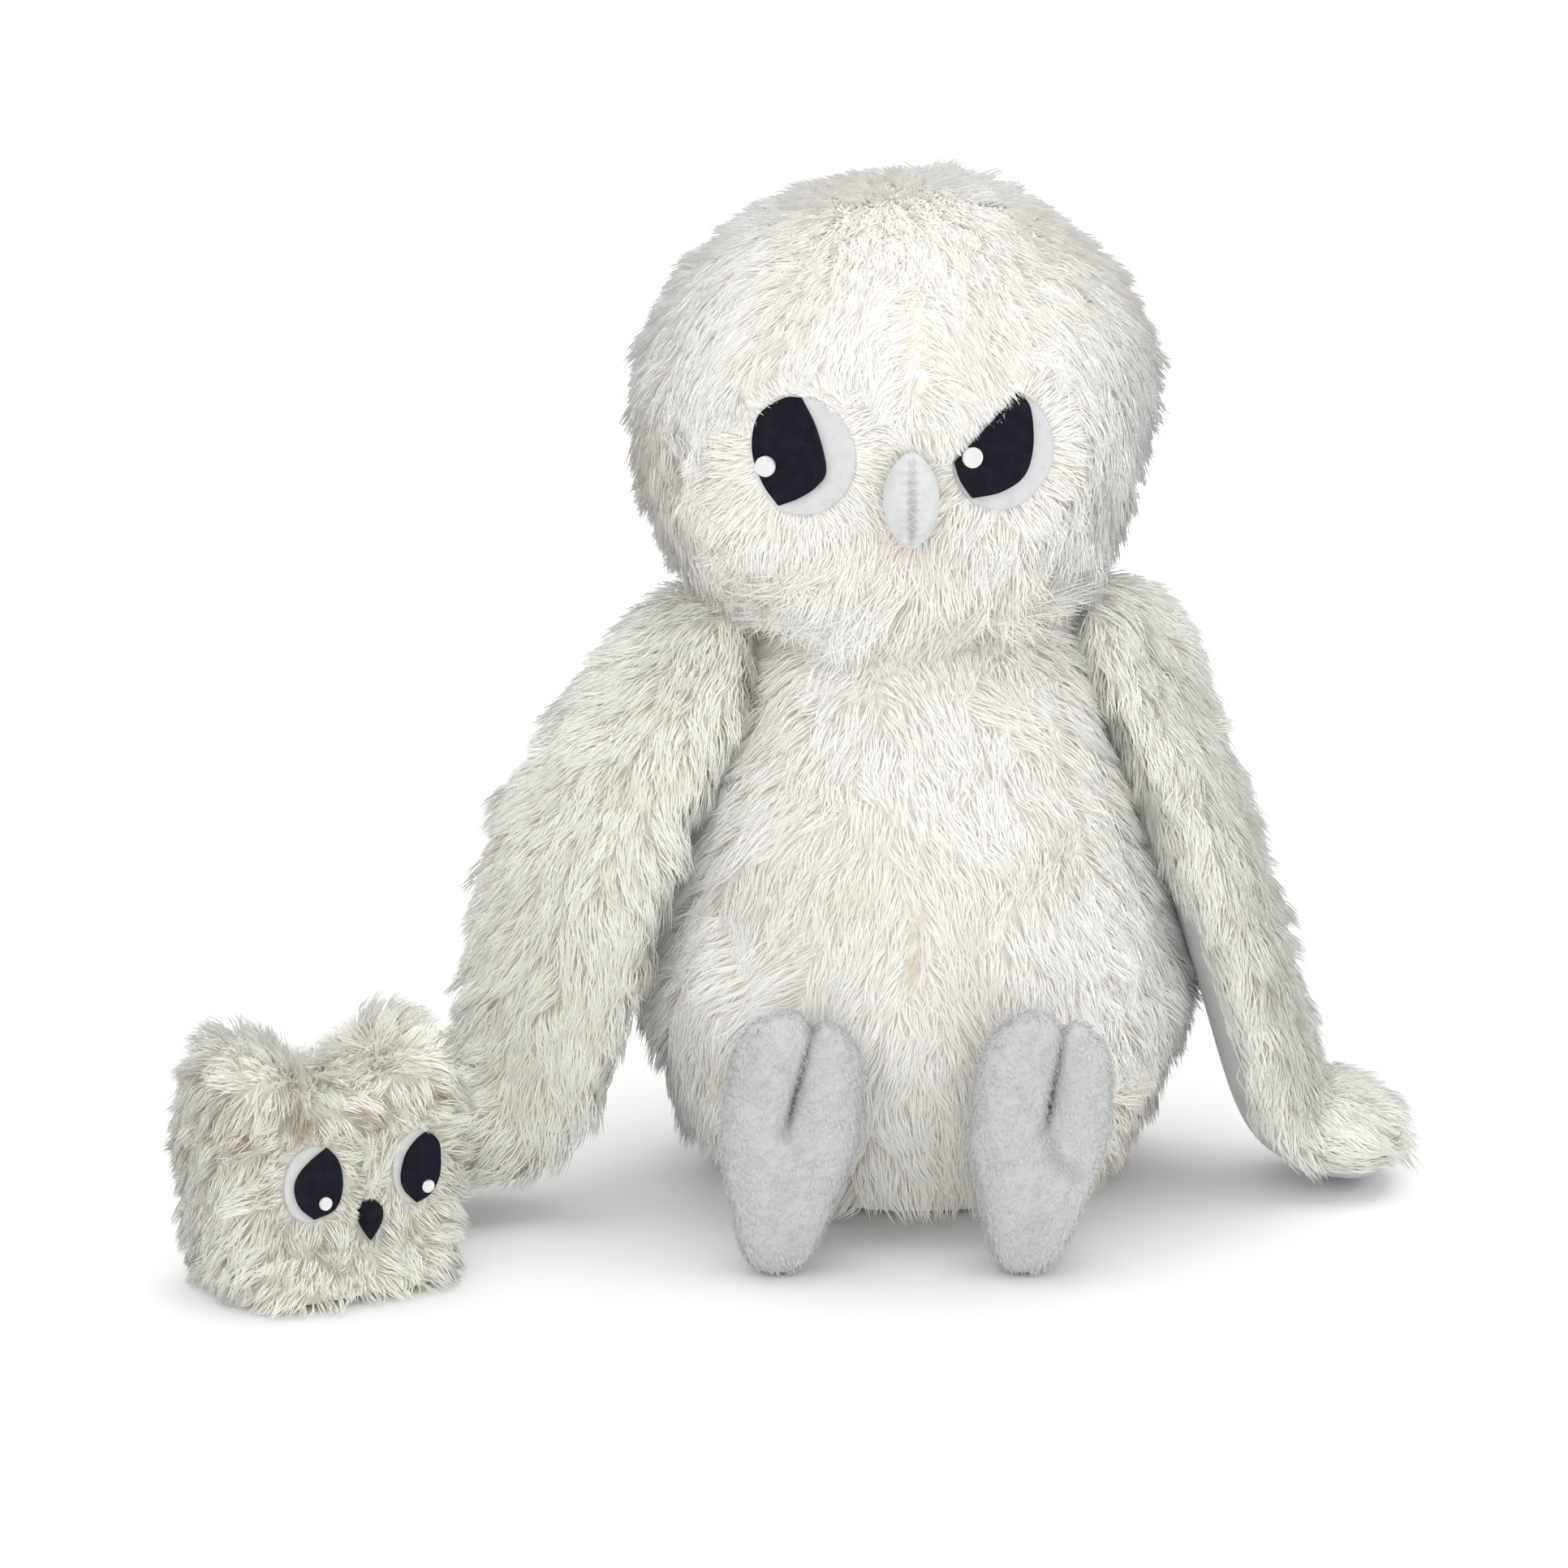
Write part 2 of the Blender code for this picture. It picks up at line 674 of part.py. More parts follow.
def foot_cage(inset=0.0):
    """A heel block with two toes drawn up from it, in shares of the foot's size."""
    heel_share = (foot_slit_height - 3 * inset) / foot_height
    slit_share = (toe_slit_width / 2 + 2 * inset) / foot_width
    bm = bmesh.new()
    bmesh.ops.create_cube(bm, size=1)
    bmesh.ops.scale(bm, verts=bm.verts, vec=(1, 1, heel_share))
    bmesh.ops.translate(bm, verts=bm.verts, vec=Z * heel_share / 2)
    for point, normal in ((Z * heel_share / 2, Z), (Vector(), X)):
        bmesh.ops.bisect_plane(
            bm, geom=bm.verts[:] + bm.edges[:] + bm.faces[:], plane_co=point, plane_no=normal)
    bm.faces.ensure_lookup_table()
    tops = [f for f in bm.faces if f.normal.z > 0.5]
    for height_share, half_width_share, thickness_share in toe_shares:
        tops = bmesh.ops.extrude_discrete_faces(bm, faces=tops)["faces"]
        for toe in tops:
            side = math.copysign(1, toe.calc_center_median().x)
            middle = abs(toe.calc_center_median().x)
            for v in toe.verts:
                v.co.z = height_share
                v.co.x = side * (slit_share if abs(v.co.x) < middle else half_width_share)
                v.co.y = math.copysign(thickness_share / 2, v.co.y)
    for v in bm.verts:
        if v.co.z < heel_share / 4:
            v.co.x *= heel_width_share
            v.co.y *= heel_thickness_share
    face_outwards(bm)
    return bm


body_grown = add("body_grown", ring_cage(body_rings(-gap), 6))
soften(body_grown, 2)
for side, sign in (("left", -1), ("right", 1)):
    foot_x = foot_shift + sign * foot_spread
    place = Vector((foot_x, -(foot_back + gap + foot_thickness / 2), gap))
    cover = add(f"foot_{side}_cover", foot_cage(), grey_velour)
    hollow = add(f"foot_{side}_hollow", foot_cage(velour_wall))
    for piece, inset, level in ((cover, 0.0, 2), (hollow, velour_wall, 1)):
        soften(piece, level)
        shrink = 2 * inset
        fit(piece, foot_width - shrink, foot_thickness - shrink, foot_height - shrink)
        piece.location = place + Z * inset
    stuffing = filling(f"foot_{side}_stuffing", hollow)
    seam_hole = add(f"foot_{side}_seam_hole", disc(leg_radius / 2, velour_wall + overrun, 12))
    seam_hole.matrix_world = facing(
        Vector((foot_x, -foot_back - velour_wall - overrun / 2, leg_height)), Y)
    boolean(cover, hollow)
    boolean(cover, seam_hole)
    leg = add(f"leg_{side}", disc(leg_radius, foot_back, 16), grey_velour)
    leg.matrix_world = facing(Vector((foot_x, -foot_back, leg_height)), Y)
    boolean(leg, body_grown)
    ankle = Vector((foot_x, -foot_back, leg_height - leg_radius))
    carry(pivot(f"foot_{side}_pivot", ankle), [cover, stuffing])


# Baby owl
baby_place = Matrix.Translation(Vector((baby_x, baby_y, 0))) @ Matrix.Rotation(baby_turn, 4, "Z")
brow_half_width_share = 0.15
cheek_height_share = 0.40
ear_rise_share = 1.6
ear_tip_share = 0.32
base_width_share = 0.90


def baby_cage(ears=True):
    """A pillow, with two corners of its top drawn up into ears, in shares of the baby's size."""
    ear_rise = ear_rise_share * baby_ear_height / baby_height
    bm = bmesh.new()
    bmesh.ops.create_cube(bm, size=1)
    bmesh.ops.translate(bm, verts=bm.verts, vec=Z / 2)
    cuts = ((X * brow_half_width_share, X), (X * -brow_half_width_share, X), (Z * cheek_height_share, Z))
    for point, normal in cuts:
        bmesh.ops.bisect_plane(
            bm, geom=bm.verts[:] + bm.edges[:] + bm.faces[:], plane_co=point, plane_no=normal)
    if ears:
        tops = [f for f in bm.faces if f.normal.z > 0.5
                and abs(f.calc_center_median().x) > brow_half_width_share]
        for ear in bmesh.ops.extrude_discrete_faces(bm, faces=tops)["faces"]:
            middle = ear.calc_center_median()
            for v in ear.verts:
                v.co = middle + (v.co - middle) * ear_tip_share
                v.co.z += ear_rise
    for v in bm.verts:
        if v.co.z < cheek_height_share / 2:
            v.co.x *= base_width_share
    face_outwards(bm)
    return bm


baby_cover = add("baby_cover", baby_cage(), grey_fur)
soften(baby_cover, 2)
fit(baby_cover, baby_width, baby_thickness, baby_height + flat_depth)
baby_cover.data.transform(Matrix.Translation(Z * -flat_depth))
baby_cover.matrix_world = baby_place
baby_body_height = baby_height - baby_ear_height


baby_hollow = add("baby_hollow", baby_cage(ears=False))
soften(baby_hollow, 1)
fit(baby_hollow, baby_width - 2 * fur_wall, baby_thickness - 2 * fur_wall, baby_body_height - 2 * fur_wall)
baby_hollow.matrix_world = baby_place @ Matrix.Translation(Z * fur_wall)
baby_stuffing = filling("baby_stuffing", baby_hollow)
baby_pellet_bag = filling("baby_pellet_bag", baby_hollow)
baby_reach = Vector((baby_width, baby_width, 0))
boolean(baby_cover, baby_hollow)
boolean(baby_cover, box("under_baby", -baby_reach - Z * overrun, baby_reach, baby_place))
boolean(baby_stuffing, box(
    "below_baby_fill", -baby_reach - Z * overrun, baby_reach + Z * (baby_pellet_fill_height + gap),
    baby_place))
boolean(baby_pellet_bag, box(
    "above_baby_fill", -baby_reach + Z * baby_pellet_fill_height, baby_reach + Z * baby_height,
    baby_place))
baby_opening = add("baby_opening", disc(baby_opening_radius, fur_wall + overrun, 12, bottom=-overrun / 2))
baby_opening.matrix_world = baby_place
boolean(baby_cover, baby_opening)

baby_front = Vector((math.sin(baby_turn), -math.cos(baby_turn), 0))
baby_pupil_shares = (
    (0.0, 0.96), (0.42, 0.80), (0.62, 0.30), (0.62, -0.40), (0.35, -0.86), (-0.20, -0.94),
    (-0.62, -0.66), (-0.72, -0.05), (-0.48, 0.66))
baby_pieces = [baby_cover, baby_stuffing, baby_pellet_bag]
for side, sign, pupil_shift_share, glint_share in (
        ("left", -1, 0.15, (0.32, -0.52)), ("right", 1, 0.0, (0.30, -0.55))):
    face_place = baby_place @ Vector((sign * baby_eye_spread, -baby_thickness / 2, baby_eye_height))
    floor = facing(face_place - baby_front * baby_eye_pocket_depth, baby_front)
    oval = Matrix.Diagonal((baby_eye_half_width, baby_eye_half_height, 1, 1))
    grown = Matrix.Diagonal((baby_eye_half_width + gap, baby_eye_half_height + gap, 1, 1))
    pocket = add(f"baby_eye_{side}_pocket", disc(1, baby_eye_pocket_depth + overrun, 20))
    pocket.data.transform(grown)
    pocket.matrix_world = floor
    boolean(baby_cover, pocket)
    white = add(f"baby_eye_{side}_white", disc(1, felt_thickness, 20, bottom=gap), pale_felt)
    white.data.transform(oval)
    white.matrix_world = floor
    on_white = gap + felt_thickness + gap
    pupil = outline_plate(
        f"baby_eye_{side}_pupil",
        [((x + pupil_shift_share) * baby_eye_half_width, y * baby_eye_half_height)
         for x, y in baby_pupil_shares],
        felt_thickness / 2, floor @ Matrix.Translation(Z * on_white), night_felt)
    on_pupil = on_white + felt_thickness / 2 + gap
    glint_place = Vector((
        glint_share[0] * baby_eye_half_width, glint_share[1] * baby_eye_half_height, 0))
    glint = add(
        f"baby_eye_{side}_glint", disc(baby_glint_radius, felt_thickness / 2, 10, bottom=on_pupil),
        white_fill)
    glint.matrix_world = floor @ Matrix.Translation(glint_place)
    baby_pieces += [white, pupil, glint]

beak_pocket = facing(
    baby_place @ Vector((0, -baby_thickness / 2, baby_beak_height)) - baby_front * baby_eye_pocket_depth,
    baby_front)
beak_hole = add("baby_beak_hole", disc(baby_beak_length / 2 + gap, baby_eye_pocket_depth + overrun, 16))
beak_hole.matrix_world = beak_pocket
boolean(baby_cover, beak_hole)
baby_beak = add("baby_beak", almond(baby_beak_width, baby_beak_length, baby_beak_depth), night_felt)
baby_beak.matrix_world = baby_place @ Matrix.Translation(
    Vector((0, -baby_thickness / 2 + baby_eye_pocket_depth - gap, baby_beak_height)))
beak_floor = box(
    "baby_beak_floor", (-overrun, -overrun, -overrun), (overrun, overrun, gap), beak_pocket)
boolean(baby_beak, beak_floor)
baby_pieces.append(baby_beak)

# The wing's hand presses on the baby's back, and a hook patch and a loop patch hold them together
baby_grown = add("baby_grown", baby_cage())
soften(baby_grown, 2)
fit(baby_grown, baby_width + 2 * gap, baby_thickness + 2 * gap, baby_height + flat_depth + 2 * gap)
baby_grown.data.transform(Matrix.Translation(Z * -(flat_depth + gap)))
baby_grown.matrix_world = baby_place

patch_spot_share = 0.7
wrist, tip = list(wing_frames["left"].spine())[-2:]
hand_spot = wrist[0].lerp(tip[0], patch_spot_share)
patch_spot = baby_place.inverted() @ hand_spot
patch_base = Vector((patch_spot.x, baby_thickness / 2 - patch_thickness, patch_spot.z))
patch_place = facing(baby_place @ patch_base, -baby_front)
hook_thickness = 2 * patch_thickness + gap
hook = add("baby_hook_patch", disc(patch_radius, hook_thickness, 16), pale_felt)
boolean(hook, baby_grown)
loop = add(
    "hand_loop_patch", disc(patch_radius, patch_thickness, 16, bottom=hook_thickness + gap), grey_velour)
patch_seat_depth = hook_thickness + gap + patch_thickness + gap
patch_seat = add("patch_seat", disc(
    patch_radius + gap, patch_seat_depth + overrun, bottom=-overrun))
for piece in (hook, loop, patch_seat):
    piece.matrix_world = patch_place
for piece in wing_pieces["left"][:2]:
    boolean(piece, baby_grown)
    boolean(piece, patch_seat)
baby_pieces.append(hook)

carry(pivot("baby_pivot", baby_place @ Vector((0, baby_thickness / 2, baby_height / 2))), baby_pieces)
carry(bpy.data.objects["wing_left_pivot"], [loop])
carry(pivot("neck_turn_pivot", neck), [neck_thread])
carry(pivot("neck_nod_pivot", neck), head_pieces)
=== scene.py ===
import math

import bmesh
import bpy
import numpy as np
from mathutils import Matrix, Vector, noise
from mathutils.kdtree import KDTree


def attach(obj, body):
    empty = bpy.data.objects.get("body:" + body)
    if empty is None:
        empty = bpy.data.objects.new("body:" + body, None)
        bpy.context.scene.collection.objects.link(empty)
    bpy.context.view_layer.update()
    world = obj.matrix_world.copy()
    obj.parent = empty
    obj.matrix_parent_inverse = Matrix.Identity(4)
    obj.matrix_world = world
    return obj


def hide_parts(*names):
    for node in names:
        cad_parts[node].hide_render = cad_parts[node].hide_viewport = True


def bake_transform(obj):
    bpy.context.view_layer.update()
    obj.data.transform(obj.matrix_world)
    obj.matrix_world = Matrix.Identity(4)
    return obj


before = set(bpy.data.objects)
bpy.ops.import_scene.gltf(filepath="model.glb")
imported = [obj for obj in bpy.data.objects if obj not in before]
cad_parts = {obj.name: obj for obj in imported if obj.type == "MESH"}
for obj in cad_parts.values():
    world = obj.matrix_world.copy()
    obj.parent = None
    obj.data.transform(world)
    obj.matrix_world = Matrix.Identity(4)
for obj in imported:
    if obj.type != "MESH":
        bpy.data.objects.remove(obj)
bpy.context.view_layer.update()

# Camera
# The photograph was taken from about a metre and a half away, a little above the owl, and
# frames the owl and its baby with the middle of the picture left of the owl's own middle.
view_drop = math.radians(14)
view_distance = 1.5
view_width = 0.4441
view_middle = Vector((-0.0372, 0, 0.1140))
looking = Vector((0, math.cos(view_drop), -math.sin(view_drop)))


def placed(name, data):
    """A new object of the scene that carries the given data."""
    made = bpy.data.objects.new(name, data)
    bpy.context.scene.collection.objects.link(made)
    return made


camera = placed("camera", bpy.data.cameras.new("camera"))
camera.data.lens = camera.data.sensor_width * view_distance / view_width
camera.location = view_middle - looking * view_distance
camera.rotation_euler = (math.pi / 2 - view_drop, 0, 0)
bpy.context.scene.camera = camera

# Body
# A pear-shaped sack of cream long-pile plush, filled with fibre over a bag of pellets.
# Its backing is a knitted skin, and the pile grows out of it and lies downwards.
X, Y, Z = Vector((1, 0, 0)), Vector((0, 1, 0)), Vector((0, 0, 1))
belly_half_width = 0.0795
belly_height = 0.060
side_half_width = 0.070
side_height = 0.098
side_lean = math.radians(17)
lean_cos, lean_sin = math.cos(side_lean), math.sin(side_lean)
body_depth_share = 0.95
neck_height = 0.125
neck = Vector((0, 0, neck_height))
dome_radius = side_half_width * lean_cos + (side_height - neck_height) * lean_sin
body_low_shares = ((0.0, 0.50), (0.02, 0.66), (0.22, 0.80), (0.60, 0.93), (1.0, 1.0))
dome_angles = (math.pi / 2 - side_lean, math.radians(43), math.radians(16))
seat_lift = 0.0008


def through(points):
    """Cage points whose smooth surface passes through the given ones, with both ends kept."""
    count = len(points)
    weights = np.eye(count)
    for i in range(1, count - 1):
        weights[i, i - 1:i + 2] = np.array((1, 4, 1)) / 6
    return np.linalg.solve(weights, np.array([list(p) for p in points]))


def face_outwards(bm):
    """Turns the faces of a closed mesh outwards."""
    bmesh.ops.recalc_face_normals(bm, faces=bm.faces)
    if bm.calc_volume(signed=True) < 0:
        bmesh.ops.reverse_faces(bm, faces=bm.faces)


def cut_across(bm, point, normal):
    """Cuts every face that a plane crosses, and takes nothing away."""
    bmesh.ops.bisect_plane(
        bm, geom=bm.verts[:] + bm.edges[:] + bm.faces[:], plane_co=point, plane_no=normal)


def ring_cage(rings, sides):
    """A closed cage round a row of rings, each a centre and the two half-axes of its section."""
    rows = len(rings) - 1
    round_share = (2 + math.cos(math.tau / sides)) / 3
    centres = through([ring[0] for ring in rings])
    wide = through([ring[1] / round_share for ring in rings])
    thick = through([ring[2] / round_share for ring in rings])
    bm = bmesh.new()
    bmesh.ops.create_cone(bm, cap_ends=True, segments=sides, radius1=1, radius2=1, depth=rows)
    bmesh.ops.translate(bm, verts=bm.verts, vec=Z * rows / 2)
    for row in range(1, rows):
        cut_across(bm, Z * row, Z)
    for v in bm.verts:
        i = round(v.co.z)
        v.co = Vector(centres[i]) + Vector(wide[i]) * v.co.x + Vector(thick[i]) * v.co.y
    face_outwards(bm)
    return bm


def level_ring(z, half_width, half_depth, x=0.0, y=0.0):
    """A level ring: its centre and its two half-axes."""
    return Vector((x, y, z)), X * half_width, Y * half_depth


def mesh_of(bm):
    """The mesh of a bmesh, which is used up, shaded smooth."""
    mesh = bpy.data.meshes.new("piece")
    bm.to_mesh(mesh)
    bm.free()
    mesh.shade_smooth()
    return mesh


def points_of(mesh):
    """Where a mesh's points are, one to a row."""
    return np.array([v.co[:] for v in mesh.vertices])


def move_points(mesh, points):
    """Puts a mesh's points at new places."""
    mesh.vertices.foreach_set("co", points.ravel())
    mesh.update()


def mark_points(mesh, name, values):
    """Gives each point of a mesh a number that its material reads."""
    mesh.attributes.new(name, "FLOAT", "POINT").data.foreach_set("value", values)


def smooth_mesh(bm, levels, cutter=None):
    """The mesh of a cage after subdivision, cut by another object if one is given."""
    cage = placed("cage", mesh_of(bm))
    soft = cage.modifiers.new("soft", "SUBSURF")
    soft.levels = levels
    soft.render_levels = levels
    if cutter:
        cut = cage.modifiers.new("cut", "BOOLEAN")
        cut.object = cutter
    bpy.context.view_layer.update()
    smooth = bpy.data.meshes.new_from_object(
        cage.evaluated_get(bpy.context.evaluated_depsgraph_get()))
    bpy.data.meshes.remove(cage.data)
    smooth.shade_smooth()
    return smooth


def show(name, mesh, material, body, node=None):
    """A finished piece, in place of a node of the frame if one is named.

    It rides on a body, or on none if no body is named.
    """
    mesh.name = name
    piece = placed(name, mesh)
    mesh.materials.clear()
    mesh.materials.append(material)
    if body:
        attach(piece, body)
    if node:
        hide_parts(node)
    return piece


def new_group(name, inputs, outputs):
    """A shader node group with its sockets, and its two end nodes."""
    group = bpy.data.node_groups.new(name, "ShaderNodeTree")
    for label, kind, value in inputs:
        socket = group.interface.new_socket(label, in_out="INPUT", socket_type=kind)
        socket.default_value = value
    for label, kind in outputs:
        group.interface.new_socket(label, in_out="OUTPUT", socket_type=kind)
    return group, group.nodes.new("NodeGroupInput"), group.nodes.new("NodeGroupOutput")


def feed(tree, node, values):
    """Gives each named socket of a node its number, its colour or its link from another node."""
    for label, value in values.items():
        if isinstance(value, bpy.types.NodeSocket):
            tree.links.new(value, node.inputs[label])
        else:
            node.inputs[label].default_value = (*value, 1) if isinstance(value, tuple) else value


def add_node(tree, kind, values, **settings):
    """A new shader node with its settings, and then its sockets' values and links."""
    node = tree.nodes.new(f"ShaderNode{kind}")
    for label, setting in settings.items():
        setattr(node, label, setting)
    feed(tree, node, values)
    return node


def mix_colour(tree, amount, low, high):
    """Two colours mixed by an amount."""
    values = {"Factor": amount, "A": low, "B": high}
    return add_node(tree, "Mix", values, data_type="RGBA").outputs["Result"]


def spread(tree, value, low, high, top=1.0):
    """A value that eases from 0 at low to its top at high."""
    values = {"Value": value, "From Min": low, "From Max": high, "To Max": top}
    return add_node(tree, "MapRange", values, interpolation_type="SMOOTHSTEP").outputs["Result"]


def cloud(tree, scale, detail):
    """Soft noise all through a piece, scale being in patches per metre."""
    values = {"Vector": own_place(tree), "Scale": scale, "Detail": detail}
    return add_node(tree, "TexNoise", values).outputs["Fac"]


def own_place(tree):
    """Where each point of a piece lies, in the piece's own axes."""
    return add_node(tree, "TexCoord", {}).outputs["Object"]


def point_mark(tree, name):
    """A number that the piece's own points carry."""
    return add_node(tree, "Attribute", {}, attribute_name=name).outputs["Fac"]


def make_pile_group():
    """Colour of long pile: painted shade deep at the roots, pale at the tips, with darker stray strands at
    random and painted shade in creases.
    """
    group, given, result = new_group(
        "pile_colour",
        (("Root Shade Color", "NodeSocketColor", (0.5, 0.5, 0.5, 1)),
         ("Tip Color", "NodeSocketColor", (0.9, 0.9, 0.9, 1)),
         ("Patch Color", "NodeSocketColor", (0.8, 0.8, 0.8, 1)),
         ("Stray And Shade Color", "NodeSocketColor", (0.6, 0.5, 0.4, 1)),
         ("Patch Scale", "NodeSocketFloat", 60.0)),
        (("Color", "NodeSocketColor"),))
    patches = spread(group, cloud(group, given.outputs["Patch Scale"], 3.0), 0.42, 0.68)
    tip = mix_colour(group, patches, given.outputs["Tip Color"], given.outputs["Patch Color"])
    # Each strand is painted from shade at its root to light at its tip, standing in for the shade deep in
    # the pile.
    length = spread(group, point_mark(group, "tone_and_shade"), 0.0, 0.75)
    along = mix_colour(group, length, given.outputs["Root Shade Color"], tip)
    # Stray strands at random, and painted shade in creases, take the stray colour.
    stray_and_shade = mix_colour(group, point_mark(group, "stray"), along, given.outputs["Stray And Shade Color"])
    group.links.new(stray_and_shade, result.inputs["Color"])
    return group


pile_group = make_pile_group()


def cloth(name, group, look, finish):
    """A cloth that a node group colours: its material, its shader and the group's node."""
    material = bpy.data.materials.new(name)
    material.use_nodes = True
    tree = material.node_tree
    weave = add_node(tree, "Group", look, node_tree=group)
    shader = tree.nodes["Principled BSDF"]
    feed(tree, shader, {**finish, "Base Color": weave.outputs["Color"]})
    return material, shader, weave


def pile_material(name, root, tip, patch, stray, patch_scale, sheen):
    """Long pile, with painted shade deep at its roots and pale tips, in patches so many to a metre."""
    look = {"Root Shade Color": root, "Tip Color": tip, "Patch Color": patch, "Stray And Shade Color": stray,
            "Patch Scale": patch_scale}
    finish = {"Roughness": 0.92, "Specular IOR Level": 0.15, "Sheen Weight": sheen, "Sheen Roughness": 0.6}
    return cloth(name, pile_group, look, finish)[0]


# The first colour is painted shade at the roots; the fourth is for stray strands and for painted shade in
# creases.
cream_pile = pile_material(
    "cream_pile", (0.945, 0.92, 0.85), (0.99, 0.985, 0.955), (0.895, 0.87, 0.795), (0.80, 0.72, 0.59),
    20.0, 0.3)


def make_strand():
    """One strand of pile: a cone with a middle row, its axis from 0 at the root to 1 at the tip."""
    bm = bmesh.new()
    bmesh.ops.create_cone(bm, cap_ends=True, segments=3, radius1=1, radius2=0, depth=1)
    bmesh.ops.translate(bm, verts=bm.verts, vec=Z / 2)
    bmesh.ops.remove_doubles(bm, verts=bm.verts, dist=0.01)
    cut_across(bm, Z * 0.5, Z)
    face_outwards(bm)
    bmesh.ops.triangulate(bm, faces=bm.faces)
    bm.verts.index_update()
    points = np.array([v.co[:] for v in bm.verts])
    faces = np.array([[v.index for v in f.verts] for f in bm.faces])
    bm.free()
    return points, faces


strand_points, strand_faces = make_strand()


root_corners = (0.1, 0.86), (0.9, 0.86), (0.5, 0.96)
strip_left, strip_width, strip_fill = 0.15, 0.7, 0.9
strip_low, strip_height = 0.06, 0.72


def strand_cell():
    """Where a strand's corners lie in its cell of the bake map: three side strips and the root."""
    corners = np.empty((*strand_faces.shape, 2))
    for i, face in enumerate(strand_faces):
        points = strand_points[face]
        if np.ptp(points[:, 2]) < 0.1:
            corners[i] = root_corners
            continue
        middle = points[:, :2].mean(axis=0)
        turn = math.atan2(middle[1], middle[0])
        column = (turn + math.pi) / math.tau
        for j, point in enumerate(points):
            off = 0.0
            if point[2] < 0.9:
                off = (math.atan2(point[1], point[0]) - turn + math.pi) % math.tau - math.pi
            corners[i, j] = (strip_left + strip_width * (column + off / math.tau * strip_fill),
                             strip_low + strip_height * point[2])
    return corners


strand_map = strand_cell()


def unit(vectors):
    """The same vectors, each made one long."""
    return vectors / np.maximum(np.linalg.norm(vectors, axis=-1, keepdims=True), 1e-9)


def scatter(mesh, count, rng):
    """Random places on a mesh, and the way that it faces at each."""
    mesh.calc_loop_triangles()
    points = np.empty(len(mesh.vertices) * 3)
    mesh.vertices.foreach_get("co", points)
    outward = np.empty(len(mesh.vertices) * 3)
    mesh.vertices.foreach_get("normal", outward)
    faces = np.empty(len(mesh.loop_triangles) * 3, int)
    mesh.loop_triangles.foreach_get("vertices", faces)
    faces = faces.reshape(-1, 3)
    corners, outward = points.reshape(-1, 3)[faces], outward.reshape(-1, 3)[faces]
    areas = np.linalg.norm(
        np.cross(corners[:, 1] - corners[:, 0], corners[:, 2] - corners[:, 0]), axis=1)
    picked = rng.choice(len(faces), count, p=areas / areas.sum())
    a, b = rng.random((2, count))
    over = a + b > 1
    a[over], b[over] = 1 - a[over], 1 - b[over]
    shares = np.stack((1 - a - b, a, b), axis=1)[:, :, None]
    return (corners[picked] * shares).sum(axis=1), unit((outward[picked] * shares).sum(axis=1))


shortest_share = 0.08
tuft_turn, strand_turn = 0.22, 0.13
tuft_size_odds, strand_sizes = 0.10, (0.78, 1.1)
tuft_rise_odds, strand_rise_odds = 7, 5
strand_rows = (0.0, 0.5, 1.0)
strand_widths = np.array((1.0, 0.86, 0.0))
strand_pull = np.array((0.0, 0.35, 1.0))
bend_up = np.array([1.5 * t - 0.5 * t * t for t in strand_rows])
bend_out = np.array([0.6 * t + 0.4 * t * t for t in strand_rows])
strand_sway, tip_sway = 0.06, 0.5
# Strands vary at random; whole tufts are darkened at random as painted shade between clumps.
tone_odds, tuft_tones = 0.06, (0.84, 1.0)
stray_start, strand_stray_share = -0.05, 0.6
# How far painted shade in creases darkens the pile towards its root colour.
crease_shade_depth = 0.8
swirl_seed = 7
noise.seed_set(swirl_seed)


